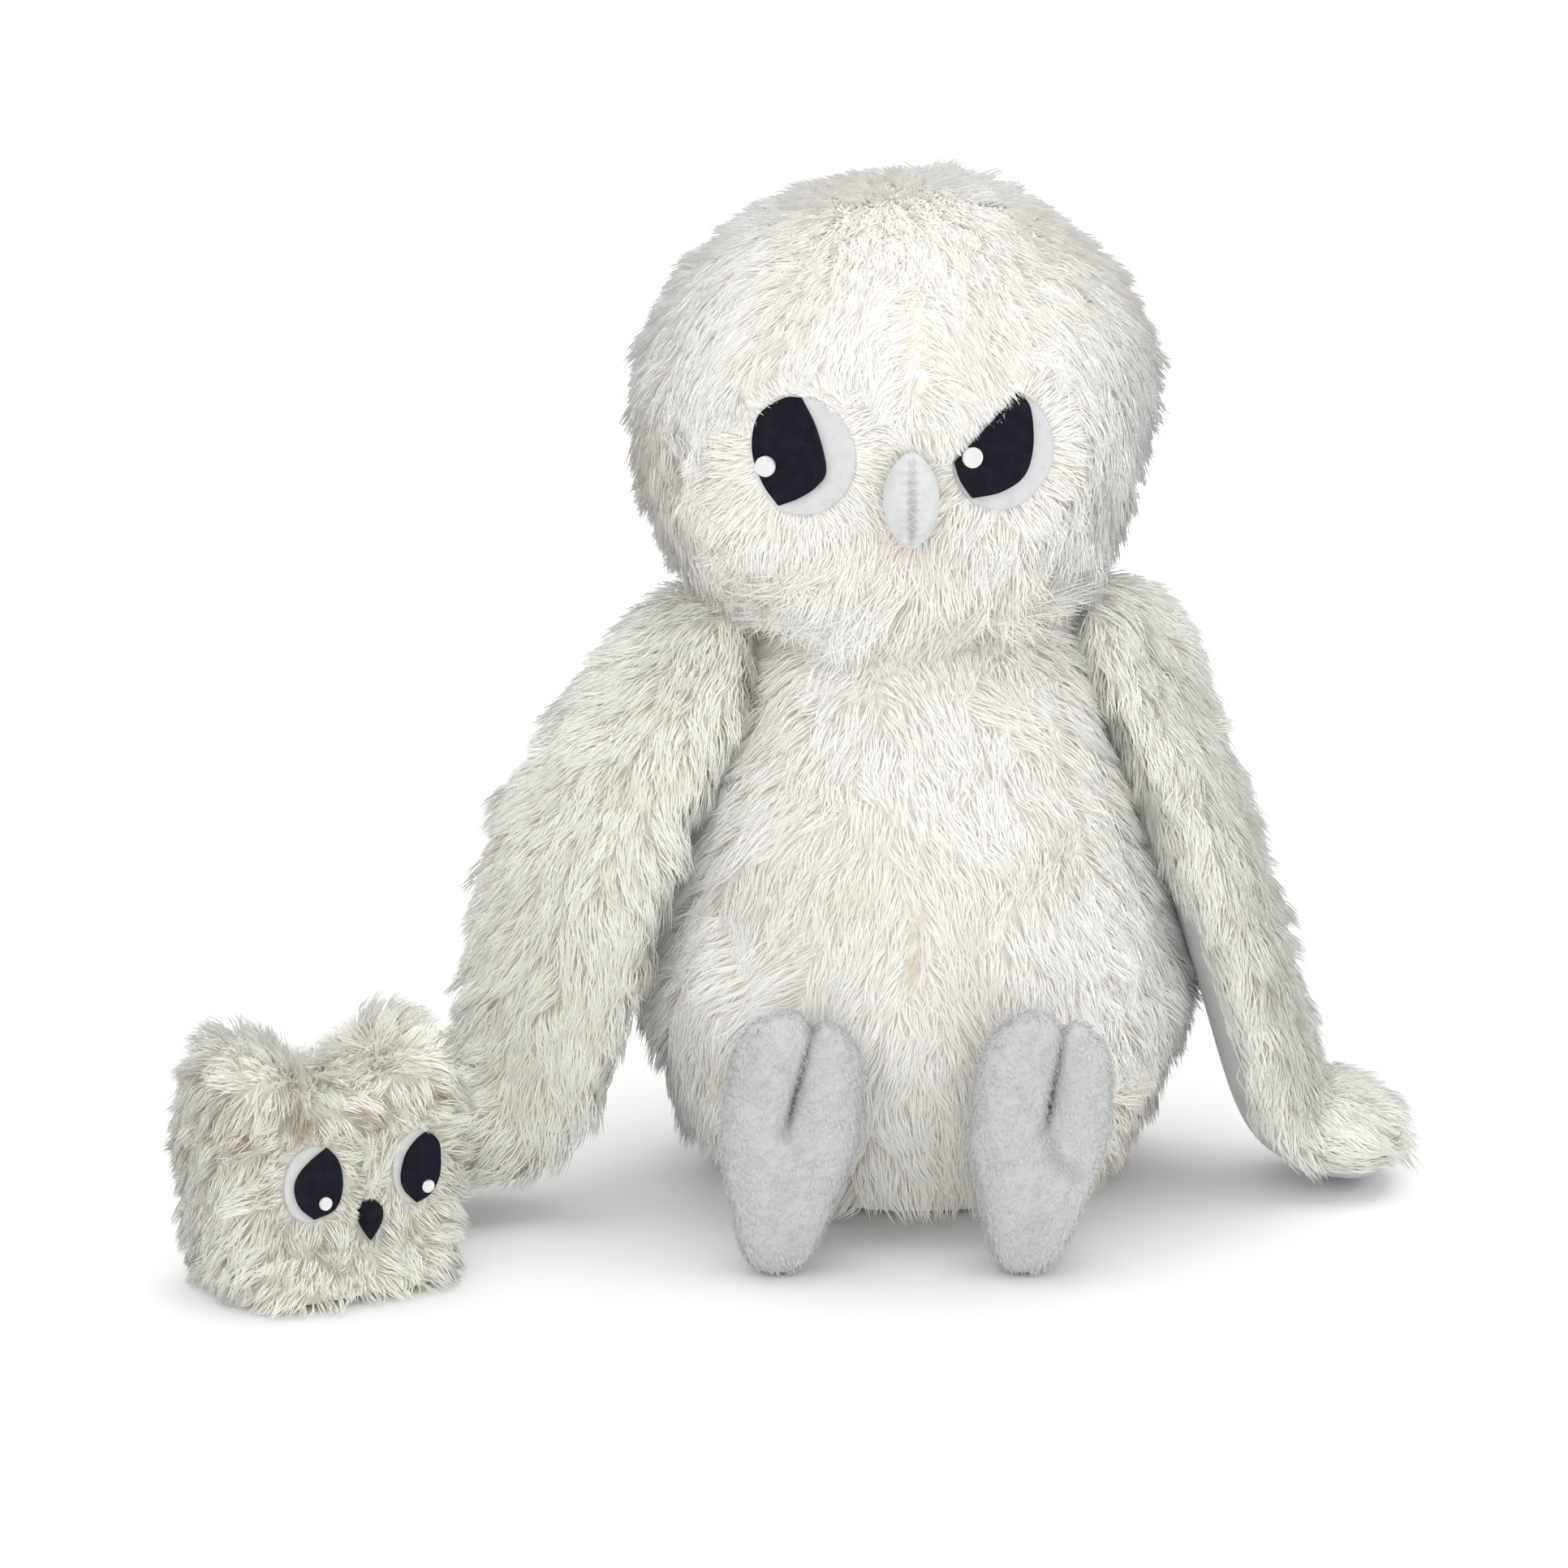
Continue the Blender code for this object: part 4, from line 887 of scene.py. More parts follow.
class WingForm:
    """The leaning plane of one wing and the way along its spine.

    The shoulder's rings are drawn up under the head: how far out, how high, half-width,
    half-thickness and turn of each. The pile gives way to the lining between the first and
    the second of its heights, at a share of the half-thickness.
    """

    def __init__(self, sign, turn, twist, hand_height, hand_length, shoulder, thick_share, shift, lining):
        self.shoulder = shoulder
        self.thick_share = thick_share
        self.shift = shift
        self.lining = lining
        self.out = Vector((sign * math.cos(turn), -math.sin(turn), 0))
        self.forward = Vector((-sign * math.sin(turn), -math.cos(turn), 0))
        self.away = self.out * lean_cos + Z * lean_sin
        self.down = self.out * lean_sin - Z * lean_cos
        plane_radius = side_half_width + (side_height - wing_top_height) * math.tan(side_lean)
        self.top = self.out * (plane_radius + wing_standoff / lean_cos) + Z * wing_top_height
        self.twist = twist
        self.hand_height = hand_height
        self.hand_length = hand_length

    def offset(self, width_share, thickness_share, twist):
        """How far a ring's centre stands off the plane, so that its back just reaches it."""
        thick = wing_half_thickness * thickness_share * math.cos(twist)
        wide = wing_half_width * width_share * math.sin(twist)
        return math.hypot(thick, wide) + self.shift

    def sections(self):
        """Centre, way along, way across, way out, half-width and half-thickness of each ring."""
        bend = math.pi / 2 - side_lean
        drop = wing_bend_radius * (1 - math.cos(bend))
        wrist = self.offset(1.0, 1.0, self.twist)
        straight = (wing_top_height + wrist * lean_sin - self.hand_height - drop) / lean_cos
        found = []
        for along_share, width_share, thickness_share, twist_share in wing_shares:
            twist = self.twist * twist_share
            offset = self.offset(width_share, thickness_share, twist)
            centre = self.top + self.down * straight * along_share + self.away * offset
            found.append((centre, self.down, self.away, width_share, thickness_share, twist))
        hinge = centre + self.away * wing_bend_radius
        for part, (width_share, thickness_share, twist_share) in enumerate(hand_shares):
            angle = bend * min(1, (part + 1) / 2)
            along = self.down * math.cos(angle) + self.away * math.sin(angle)
            outer = self.away * math.cos(angle) - self.down * math.sin(angle)
            centre = hinge - outer * wing_bend_radius
            if part == len(hand_shares) - 1:
                centre = centre + along * self.hand_length
            found.append((centre, along, outer, width_share, thickness_share, self.twist * twist_share))
        spots = [self.out * reach + Z * height for reach, height, wide, deep, twist in self.shoulder]
        spots.append(found[0][0])
        rows = []
        for i, (reach, height, wide, deep, twist) in enumerate(self.shoulder):
            along = (spots[i + 1] - spots[max(i - 1, 0)]).normalized()
            outer = (self.out - along * self.out.dot(along)).normalized()
            rows.append((spots[i], along, *self.turned(outer, twist), wide, deep))
        for centre, along, outer, width_share, thickness_share, twist in found:
            rows.append((centre, along, *self.turned(outer, twist), wing_half_width * width_share,
                         wing_half_thickness * thickness_share * self.thick_share))
        return rows

    def turned(self, outer, twist):
        """A section's ways across and out, after its turn about the spine."""
        return (self.forward * math.cos(twist) - outer * math.sin(twist),
                outer * math.cos(twist) + self.forward * math.sin(twist))

    def rings(self, outer_inset, inner_inset):
        """Rings of the wing, drawn in by outer_inset at the pile and inner_inset at the velour."""
        edge_inset = outer_inset * 0.6
        rows = self.sections()
        rings = []
        for i, (centre, along, across, thick, half_width, half_thickness) in enumerate(rows):
            wide = max(half_width - edge_inset, 0.004)
            deep = max(half_thickness - (outer_inset + inner_inset) / 2, 0.002)
            shift = thick * (inner_inset - outer_inset) / 2
            if i == len(rows) - 1:
                shift = shift - along * outer_inset
            rings.append((centre + shift, across * wide, thick * deep))
        return rings

    def nearest(self, points):
        """For each point, its section's ways along, across and out, and its share across and out."""
        rows = self.sections()
        table = np.array([[*r[0], *r[1], *r[2], *r[3], r[4], r[5]] for r in rows])
        steps = np.linspace(0, len(rows) - 1, 60)
        fine = np.stack([np.interp(steps, np.arange(len(rows)), column) for column in table.T], axis=1)
        found = np.linalg.norm(points[:, None] - fine[None, :, :3], axis=2).argmin(axis=1)
        row = fine[found]
        off = points - row[:, :3]
        across = (off * row[:, 6:9]).sum(axis=1) / row[:, 12]
        out = (off * row[:, 9:12]).sum(axis=1) / row[:, 13]
        return row[:, 3:6], row[:, 6:9], row[:, 9:12], across, out, steps[found] / (len(rows) - 1)

    def lining_edge(self, height):
        """Share of the half-thickness, inwards of the middle, at which pile gives way to velour."""
        low, high, share = self.lining
        return share + (0.97 - share) * np.clip((height - low) / (high - low), 0, 1)


wing_forms = {
    "left": WingForm(
        sign=-1, turn=math.radians(15), twist=math.radians(34), hand_height=0.0265, hand_length=0.046,
        shoulder=((0.0545, 0.1710, 0.0090, 0.0040, 0.2), (0.0610, 0.1640, 0.0180, 0.0090, 0.4),
                  (0.0690, 0.1500, 0.0245, 0.0110, 0.5)),
        thick_share=1.12, shift=0.0030, lining=(0.106, 0.122, 0.25)),
    "right": WingForm(
        sign=1, turn=math.radians(5), twist=0.0, hand_height=0.0160, hand_length=0.016,
        shoulder=((0.0500, 0.1740, 0.0090, 0.0040, 0.2), (0.0565, 0.1650, 0.0180, 0.0080, 0.4),
                  (0.0650, 0.1510, 0.0245, 0.0085, 0.35)),
        thick_share=1.0, shift=-0.0035, lining=(0.090, 0.108, 0.45)),
}
for side, form in wing_forms.items():
    pad = show(
        f"wing_{side}_skin", smooth_mesh(ring_cage(form.rings(0.0034, 0.0010), sides=8), levels=3),
        grey_pile, None, f"wing_{side}_cover")

    lining_mesh = bmesh.new()
    lining_mesh.from_mesh(pad.data)
    middles = np.array([f.calc_center_median()[:] for f in lining_mesh.faces])
    out = form.nearest(middles)[4]
    edge = form.lining_edge(middles[:, 2])
    outer_faces = [f for f, value, share in zip(lining_mesh.faces, out, edge) if value > -share]
    bmesh.ops.delete(lining_mesh, geom=outer_faces, context="FACES")
    bmesh.ops.solidify(lining_mesh, geom=lining_mesh.faces[:], thickness=-lining_thickness)
    face_outwards(lining_mesh)
    lining = show(
        f"wing_{side}_lining_cloth", mesh_of(lining_mesh), velour, None,
        f"wing_{side}_lining")

    def wing_comb(root, outward, form=form):
        """Down the wing, and from its middle ridge out to both edges."""
        along, across_way, out_way, across, out, share = form.nearest(root)
        return along + across_way * (np.clip(across * 1.6, -1, 1) * 0.55)[:, None]

    def wing_trim(root, outward, form=form):
        """Pile on the outer side and round its edges only, shorter along the middle ridge."""
        along, across_way, out_way, across, out, share = form.nearest(root)
        trim = np.where(out < -form.lining_edge(root[:, 2]), 0.0, 1.0)
        return trim * (0.78 + 0.22 * ramp(np.abs(across), 0, 0.3))

    inner = filling(
        smooth_mesh(ring_cage(form.rings(0.0062, 0.0032), sides=8), levels=2), 0.0, None,
        f"wing_{side}_stuffing")
    pile = grow_pile(
        f"wing_{side}_pile", pad.data, None, grey_pile, strands=27000, length=0.0118,
        comb=wing_comb, trim=wing_trim, seed=20 + len(side), lift=27, tuft=26, gather=0.34, swirl=0.6,
        swirl_size=0.014, width=0.00026, panels=2)
    for piece in (pad, lining, inner, *pile):
        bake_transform(piece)

# Feet and legs
# Each foot is a velour bag that stands on its heel, with a sewn slit that makes two toes.
# A short velour leg joins it to the body.
foot_width = 0.0370
foot_thickness = 0.0215
foot_height = 0.0722
foot_back = 0.0780
foot_lift = 0.0003
foot_slit_height = 0.040
toe_slit_width = -0.0050
toe_shares = ((0.84, 0.50, 0.94), (1.0, 0.40, 0.62))
heel_width_share = 0.34
heel_thickness_share = 0.60
foot_lean = -0.0060
foot_shift = 0.0017
heel_bulge = 0.0040
foot_waist = 0.15
slit_width = 0.0012
fold_depth, fold_width = 0.0018, 0.0024
outer_toe_drop, toe_edge_drop = 0.0028, 0.0050
toe_cleft_depth, toe_cleft_width = 0.0030, 0.0022
toe_narrowing = 0.10
leg_length = 0.034
slit_slants = {"left": (0.0042, -0.0016), "right": (0.0046, 0.0013)}
fold_path = {"left": ((-0.0016, 0.0425), (-0.0016, 0.0415)),
             "right": ((0.0013, 0.0420), (0.0030, 0.0365), (0.0065, 0.0325), (0.0105, 0.0300))}
# The first colour is painted shade at the roots of the nap.
velour_nap = pile_material(
    "velour_nap", (0.50, 0.515, 0.52), (0.70, 0.715, 0.712), (0.565, 0.58, 0.585), (0.49, 0.505, 0.515),
    110.0, 0.7)


def fit(mesh, low, high):
    """Stretches a mesh so that it just fills the box from low to high."""
    points = points_of(mesh)
    found_low, found_high = points.min(axis=0), points.max(axis=0)
    share = (points - found_low) / (found_high - found_low)
    move_points(mesh, np.array(low) + share * (np.array(high) - np.array(low)))


def foot_cage():
    """A heel block with two toes drawn up from it, in shares of the foot's size."""
    heel_share = foot_slit_height / foot_height
    slit_share = toe_slit_width / 2 / foot_width
    bm = bmesh.new()
    bmesh.ops.create_cube(bm, size=1)
    bmesh.ops.scale(bm, verts=bm.verts, vec=(1, 1, heel_share))
    bmesh.ops.translate(bm, verts=bm.verts, vec=Z * heel_share / 2)
    cut_across(bm, Z * heel_share / 2, Z)
    cut_across(bm, Vector(), X)
    tops = [f for f in bm.faces if f.normal.z > 0.5]
    for height_share, half_width_share, thickness_share in toe_shares:
        tops = bmesh.ops.extrude_discrete_faces(bm, faces=tops)["faces"]
        for toe in tops:
            side = math.copysign(1, toe.calc_center_median().x)
            middle = abs(toe.calc_center_median().x)
            for v in toe.verts:
                v.co.z = height_share
                v.co.x = side * (slit_share if abs(v.co.x) < middle else half_width_share)
                v.co.y = math.copysign(thickness_share / 2, v.co.y)
    for v in bm.verts:
        if v.co.z < heel_share / 4:
            v.co.x *= heel_width_share
            v.co.y *= heel_thickness_share
    face_outwards(bm)
    return bm


def path_distance(across, height, path):
    """How far each place on a foot's front lies from a folded line."""
    spots = np.stack((across, height), axis=1)
    nearest = np.full(len(spots), 1.0)
    for start, end in zip(np.array(path[:-1]), np.array(path[1:])):
        way = end - start
        share = np.clip((spots - start) @ way / (way @ way), 0, 1)
        nearest = np.minimum(nearest, np.linalg.norm(spots - start - share[:, None] * way, axis=1))
    return nearest


def lean_foot(mesh, side, x):
    """Leans the heel to one side, slants the slit, drops the outer toe, presses in the fold, and paints
    shade into the slit and the fold.
    """
    points = points_of(mesh)
    across = points[:, 0] - x
    share = points[:, 2] / foot_height
    half = foot_width / 2
    across *= 1 - foot_waist * np.sin(math.pi * np.clip(share / 0.5, 0, 1))
    top, bottom = slit_slants[side]
    slant = np.interp(share, (0.0, foot_slit_height / foot_height, 1.0), (0.0, bottom, top))
    across += slant * np.clip(1 - (across / half) ** 2, 0, 1)
    front = points[:, 1] < -(foot_back + foot_thickness * 0.55)
    slit = hill(across - slant, slit_width) * ramp(share, 0.56, 0.05) * ramp(share, 1.02, -0.10)
    fold = hill(path_distance(across, points[:, 2], fold_path[side]), fold_width) * front
    points[:, 1] += fold_depth * fold
    toe_top = ramp(share, 0.72, 0.28)
    points[:, 2] -= outer_toe_drop * both_ways(across, half) * toe_top
    points[:, 2] -= toe_edge_drop * (across / half) ** 2 * toe_top
    points[:, 2] -= toe_cleft_depth * hill(across - slant, toe_cleft_width) * toe_top ** 3
    across *= 1 - toe_narrowing * toe_top ** 2
    points[:, 0] = x + foot_shift + across + foot_lean * np.clip(1 - share, 0, 1) ** 1.3
    forward = ramp(points[:, 1], -foot_back, -foot_thickness)
    points[:, 1] -= heel_bulge * forward * np.clip(1 - share / 0.7, 0, 1)
    move_points(mesh, points)
    # Painted shade in the slit and, more faintly, in the fold.
    mark_points(mesh, "crease_shade", np.clip(np.maximum(slit * 0.8, fold * 0.2), 0, 1))


def foot_form(levels, side, x):
    """A foot's leaned form, standing where it belongs."""
    mesh = smooth_mesh(foot_cage(), levels)
    front = -(foot_back + foot_lift + foot_thickness)
    fit(mesh, (x - foot_width / 2, front, foot_lift),
        (x + foot_width / 2, -(foot_back + foot_lift), foot_lift + foot_height))
    lean_foot(mesh, side, x)
    return mesh


nap_lie = (0.35, -0.1, -1.0)
sole_height, sole_facing = 0.0012, -0.6


def nap_comb(root, outward):
    """Short nap brushed down and a little to one side."""
    return np.repeat([nap_lie], len(root), axis=0)


def nap_trim(root, outward):
    """Nap all over but on the sole."""
    return np.where((root[:, 2] < sole_height) & (outward[:, 2] < sole_facing), 0.0, 1.0)


for side, x in (("left", leg_x[0]), ("right", leg_x[1])):
    foot_mesh = foot_form(5, side, x)
    show(f"foot_{side}_velour", foot_mesh, velour, f"foot_{side}", f"foot_{side}_cover")
    filling(foot_form(3, side, x), 0.0026, f"foot_{side}", f"foot_{side}_stuffing")
    grow_pile(
        f"foot_{side}_nap", foot_mesh, f"foot_{side}", velour_nap, strands=7000,
        length=0.0018, comb=nap_comb, trim=nap_trim, seed=50 + len(side), lift=42, tuft=10,
        gather=0.25, swirl=0.35, swirl_size=0.006, width=0.00013)
    leg = bmesh.new()
    bmesh.ops.create_cone(
        leg, cap_ends=True, segments=24, radius1=leg_radius, radius2=leg_radius, depth=leg_length)
    rims = [e for e in leg.edges if abs(e.verts[0].co.z - e.verts[1].co.z) < 1e-6]
    bmesh.ops.bevel(
        leg, geom=rims, offset=0.003, segments=4, profile=0.5, affect="EDGES", material=-1)
    middle = Vector((x, -foot_back + leg_length / 2, leg_height))
    bmesh.ops.transform(leg, verts=leg.verts, matrix=facing(middle, -Y))
    show(f"leg_{side}_velour", mesh_of(leg), velour, "body", f"leg_{side}")

# Eyes
# Each eye is a pale felt disc with a pupil of dark felt and a white spot laid on it.
# The discs are pressed into the pile, whose brow hangs over their upper edges.
felt_thickness = 0.0014
glint_radius = 0.0028
felt_grain = (2600.0, 300.0, 0.0002)
pale_felt = nap_material("pale_felt", (0.64, 0.645, 0.64), (0.585, 0.59, 0.59), *felt_grain, 0.1)
night_felt = nap_material(
    "night_felt", (0.004, 0.005, 0.010), (0.009, 0.010, 0.017), *felt_grain, 0.0, 0.85)
white_felt = nap_material("white_felt", (0.74, 0.75, 0.74), (0.68, 0.69, 0.68), *felt_grain, 0.1)
felt_layers = (
    ("disc", "white", pale_felt, "pale_felt"), ("dark", "pupil", night_felt, "dark_felt"),
    ("spot", "glint", white_felt, "white_felt"))
left_pupil_shares = (
    (-0.24, 0.93, 0), (0.08, 0.96, 1), (0.34, 0.47, 0), (0.51, -0.18, 0), (0.36, -0.47, 0),
    (0.05, -0.69, 0), (-0.31, -0.84, 1), (-0.58, -0.47, 0), (-0.76, 0.07, 0), (-0.66, 0.62, 0))
right_pupil_shares = (
    (0.38, 0.95, 1), (0.56, 0.66, 0), (0.59, 0.04, 0), (0.44, -0.42, 0), (0.05, -0.66, 0),
    (-0.43, -0.74, 1), (-0.63, -0.45, 0), (-0.74, -0.14, 1), (-0.20, 0.42, 0))
left_glint_share = (-0.51, -0.19)
right_glint_share = (-0.46, -0.06)


def felt_piece(outline, bottom, top, edge, dome, place):
    """A cut piece of felt with a soft edge, crowned by dome at the middle of its place."""
    bm = bmesh.new()
    rim = [bm.verts.new((x, y, bottom)) for x, y in outline]
    base = bmesh.ops.contextual_create(bm, geom=rim)["faces"]
    raised = bmesh.ops.extrude_face_region(bm, geom=base)["geom"]
    lid = [g for g in raised if isinstance(g, bmesh.types.BMFace)]
    bmesh.ops.translate(
        bm, verts=[g for g in raised if isinstance(g, bmesh.types.BMVert)], vec=Z * (top - bottom))
    for inward, upward in ((0.3, 0.5), (0.7, 0.35), (1.5, 0.15)):
        bmesh.ops.inset_region(bm, faces=lid, thickness=edge * inward, depth=edge * upward)
    face_outwards(bm)
    reach = max(math.hypot(*p) for p in outline)
    for v in bm.verts:
        if v.co.z > bottom + edge / 10:
            v.co.z -= dome * (v.co.x ** 2 + v.co.y ** 2) / reach ** 2
    bmesh.ops.transform(bm, verts=bm.verts, matrix=place)
    mesh = mesh_of(bm)
    mesh.set_sharp_from_angle(angle=math.radians(50))
    return mesh


def round_outline(radius, count):
    """The corners of a round piece."""
    return [(radius * math.cos(math.tau * i / count), radius * math.sin(math.tau * i / count))
            for i in range(count)]


def felt_eye(name, body, layers):
    """An eye's disc, pupil and highlight, each given as felt_piece takes them."""
    for (ending, part, felt, slot), layer in zip(felt_layers, layers):
        show(f"{name}_{ending}", felt_piece(*layer), felt, body, f"{name}_{part}")


white_top = felt_thickness - pile_depth
pupil_top = white_top + felt_thickness
for side, place, disc_outline, pupil_shares, glint_share in (
        ("left", eye_places[0], disc_outlines[0], left_pupil_shares, left_glint_share),
        ("right", eye_places[1], disc_outlines[1], right_pupil_shares, right_glint_share)):
    pupil_outline = [(x * eye_radius, y * eye_radius) for x, y in smooth_outline(pupil_shares)]
    spot = Matrix.Translation(Vector((glint_share[0] * eye_radius, glint_share[1] * eye_radius, 0)))
    felt_eye(f"eye_{side}", "head", (
        (disc_outline, -pile_depth - 0.003, white_top + 0.0006, 0.0004, 0.0022, place),
        (pupil_outline, white_top - 0.0020, pupil_top, 0.0003, 0.0018, place),
        (round_outline(glint_radius, 32), pupil_top - 0.0010, pupil_top + 0.0004, 0.0002, 0.0003,
         place @ spot)))

# Beak
# A small padded almond of velour, with a seam sewn down its middle that draws the cloth in.
beak_place = head_face(beak_middle, beak_height)[0]
thread_shade = nap_material("seam_thread", (0.74, 0.75, 0.76), (0.62, 0.63, 0.64), 3000.0, 400.0, 0.0002)
pucker_rate = 34


def almond(width, length, depth, point_share, groove=0.0, segments=48, drop=0.0):
    """A ball drawn out to a point at its top and bottom, with a groove down its front.

    drop makes it wide above and narrow below.
    """
    bm = bmesh.new()
    bmesh.ops.create_uvsphere(bm, u_segments=segments, v_segments=segments // 2 + 8, radius=1)
    for v in bm.verts:
        x, y, z = v.co
        narrow = (1 - point_share * abs(z) ** 3) * (1 + drop * z)
        drawn = groove * math.exp(-(x / 0.16) ** 2) * (1 - z ** 4) * (y < 0)
        pucker = groove * 0.22 * math.sin(z * pucker_rate) * math.exp(-(x / 0.5) ** 2) * (y < 0)
        depth_here = y * depth / 2 * narrow + drawn + pucker * (abs(x) > 0.1)
        v.co = Vector((x * width / 2 * narrow, depth_here, z * length / 2))
    return bm


beak_form = almond(beak_width, beak_length, beak_depth, 0.35, 0.0022, segments=96)
bmesh.ops.translate(beak_form, verts=beak_form.verts, vec=beak_place)
beak_mesh = mesh_of(beak_form)
beak_points = points_of(beak_mesh)
beak_across = beak_points[:, 0] - beak_middle
beak_along = (beak_points[:, 2] - beak_height) / (beak_length / 2)
beak_front = beak_points[:, 1] < beak_place.y
# Painted shade along the seam and in the puckers beside it, broken up at random and darker towards the
# bottom.
pucker_shade = 0.5 + 0.5 * np.sin(beak_along * pucker_rate)
ragged = np.array([noise.noise(Vector(p) / 0.0012) for p in beak_points]) * 0.5 + 0.5
seam_shade = 0.38 * hill(beak_across, 0.0007)
seam_shade += 0.32 * pucker_shade * hill(beak_across, 0.0026)
seam_shade *= ragged * (1.1 - 0.7 * beak_along)
mark_points(beak_mesh, "crease_shade", np.clip(seam_shade * beak_front * (1 - beak_along ** 4), 0, 1))
beak_velour = nap_material("beak_velour", (0.66, 0.67, 0.67), (0.59, 0.60, 0.605), 1700.0, 260.0, 0.0004)
show("beak_velour_pad", beak_mesh, beak_velour, "head", "beak")

stitch_count = 11
stitch_radius = 0.00014
stitch_reach = 0.0017
stitched_share = 0.80
stitches = bmesh.new()
for number in range(stitch_count):
    share = -stitched_share + 2 * stitched_share * number / (stitch_count - 1)
    reach = stitch_reach * (1 - 0.5 * abs(share)) * (1.0 if number % 2 else 0.7)
    tilt = 0.0005 if number % 2 else -0.0004
    spots = []
    for part in (-1.0, -0.5, 0.0, 0.5, 1.0):
        spot_x, spot_z = part * reach, share * beak_length / 2 + part * tilt
        inside = 1 - (spot_x / (beak_width / 2)) ** 2 - (spot_z / (beak_length / 2)) ** 2
        front = -beak_depth / 2 * math.sqrt(max(inside, 0.02)) * (1 - 0.35 * abs(share) ** 3)
        sunk = 0.0012 * math.exp(-(spot_x / 0.0012) ** 2) + (0.0006 if abs(part) == 1 else 0.0)
        spots.append(beak_place + Vector((spot_x, front + sunk, spot_z)))
    for start, end in zip(spots[:-1], spots[1:]):
        made = bmesh.ops.create_cone(
            stitches, cap_ends=True, segments=8, radius1=stitch_radius, radius2=stitch_radius,
            depth=(end - start).length * 1.15)["verts"]
        turn = (end - start).to_track_quat("Z", "Y").to_matrix().to_4x4()
        bmesh.ops.transform(
            stitches, verts=made, matrix=Matrix.Translation((start + end) / 2) @ turn)
show("beak_seam_stitches", mesh_of(stitches), thread_shade, "head")

# Baby owl
# A small pillow of the grey plush with two corners drawn up into ears, weighted with pellets.
# Its felt eyes and beak are made like the big owl's.
baby_turn = math.radians(30)
baby_spot = Vector((-0.160, -0.088, 0))
baby_place = Matrix.Translation(baby_spot) @ Matrix.Rotation(baby_turn, 4, "Z")
baby_width = 0.0740
baby_thickness = 0.0460
baby_top_height = 0.0665
brow_half_width_share = 0.15
cheek_height_shares = (0.06, 0.40)
ear_rise = 0.15
ear_tip_share = 0.50
base_width_share = 0.88
face_forward = 0.0030
base_bulge = 0.0090
hook_bulge = 0.0075
baby_eye_height = 0.0330
baby_eye_spread = 0.0155
baby_eye_half_width = 0.0088
baby_eye_half_height = 0.0104
baby_glint_radius = 0.0018
baby_disc_thickness = 0.0012
baby_disc_sink = 0.0040
baby_pupil_thickness = 0.0010
baby_eye_parting = 0.018
baby_beak_parting = 0.011
baby_beak_height = 0.0212
baby_beak_width = 0.0066
baby_beak_length = 0.0116
baby_beak_depth = 0.0070


def baby_cage():
    """A pillow, with two corners of its top drawn up into ears, in shares of the baby's size."""
    bm = bmesh.new()
    bmesh.ops.create_cube(bm, size=1)
    bmesh.ops.translate(bm, verts=bm.verts, vec=Z / 2)
    cuts = [(X * brow_half_width_share, X), (X * -brow_half_width_share, X)]
    cuts += [(Z * share, Z) for share in cheek_height_shares]
    for point, normal in cuts:
        cut_across(bm, point, normal)
    tops = [f for f in bm.faces if f.normal.z > 0.5
            and abs(f.calc_center_median().x) > brow_half_width_share]
    for ear in bmesh.ops.extrude_discrete_faces(bm, faces=tops)["faces"]:
        middle = ear.calc_center_median()
        for v in ear.verts:
            v.co = middle + (v.co - middle) * ear_tip_share
            v.co.z += ear_rise
    for v in bm.verts:
        if v.co.z < cheek_height_shares[0] * 1.5:
            v.co.x *= base_width_share
            v.co.x -= 0.02
    face_outwards(bm)
    return bm


baby_mesh = smooth_mesh(baby_cage(), levels=4)
half_x = baby_width / 2 - 0.0030
half_y = baby_thickness / 2 - 0.0040
fit(baby_mesh, (-half_x - 0.0030, -half_y, seat_lift), (half_x - 0.0035, half_y, baby_top_height))
baby_points = points_of(baby_mesh)
share = baby_points[:, 1] / half_y
baby_points[:, 1] = half_y * share * (1.35 - 0.35 * share ** 2)
forward = np.clip(-share, 0, 1)
low = ramp(baby_points[:, 2], 0.015, -0.012)
baby_points[:, 1] -= forward * (face_forward + base_bulge * low)
hook_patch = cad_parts["baby_hook_patch"]
hook = sum((Vector(corner) for corner in hook_patch.bound_box), Vector()) / 8
hook = baby_place.inverted() @ hook_patch.matrix_world @ hook
near_hook = np.exp(-np.hypot(baby_points[:, 0] - hook.x, baby_points[:, 2] - hook.z) ** 2 / 0.013 ** 2)
baby_points[:, 1] += np.clip(share, 0, 1) * near_hook * hook_bulge
move_points(baby_mesh, baby_points)
baby_mesh.transform(baby_place)
# The first colour is painted shade at the roots; the fourth is for stray strands and for painted shade
# between tufts.
baby_pile = pile_material(
    "baby_pile", (0.65, 0.635, 0.54), (0.865, 0.865, 0.795), (0.80, 0.80, 0.725), (0.40, 0.35, 0.26),
    90.0, 0.3)
baby_skin = show("baby_skin", baby_mesh, baby_pile, "baby", "baby_cover")

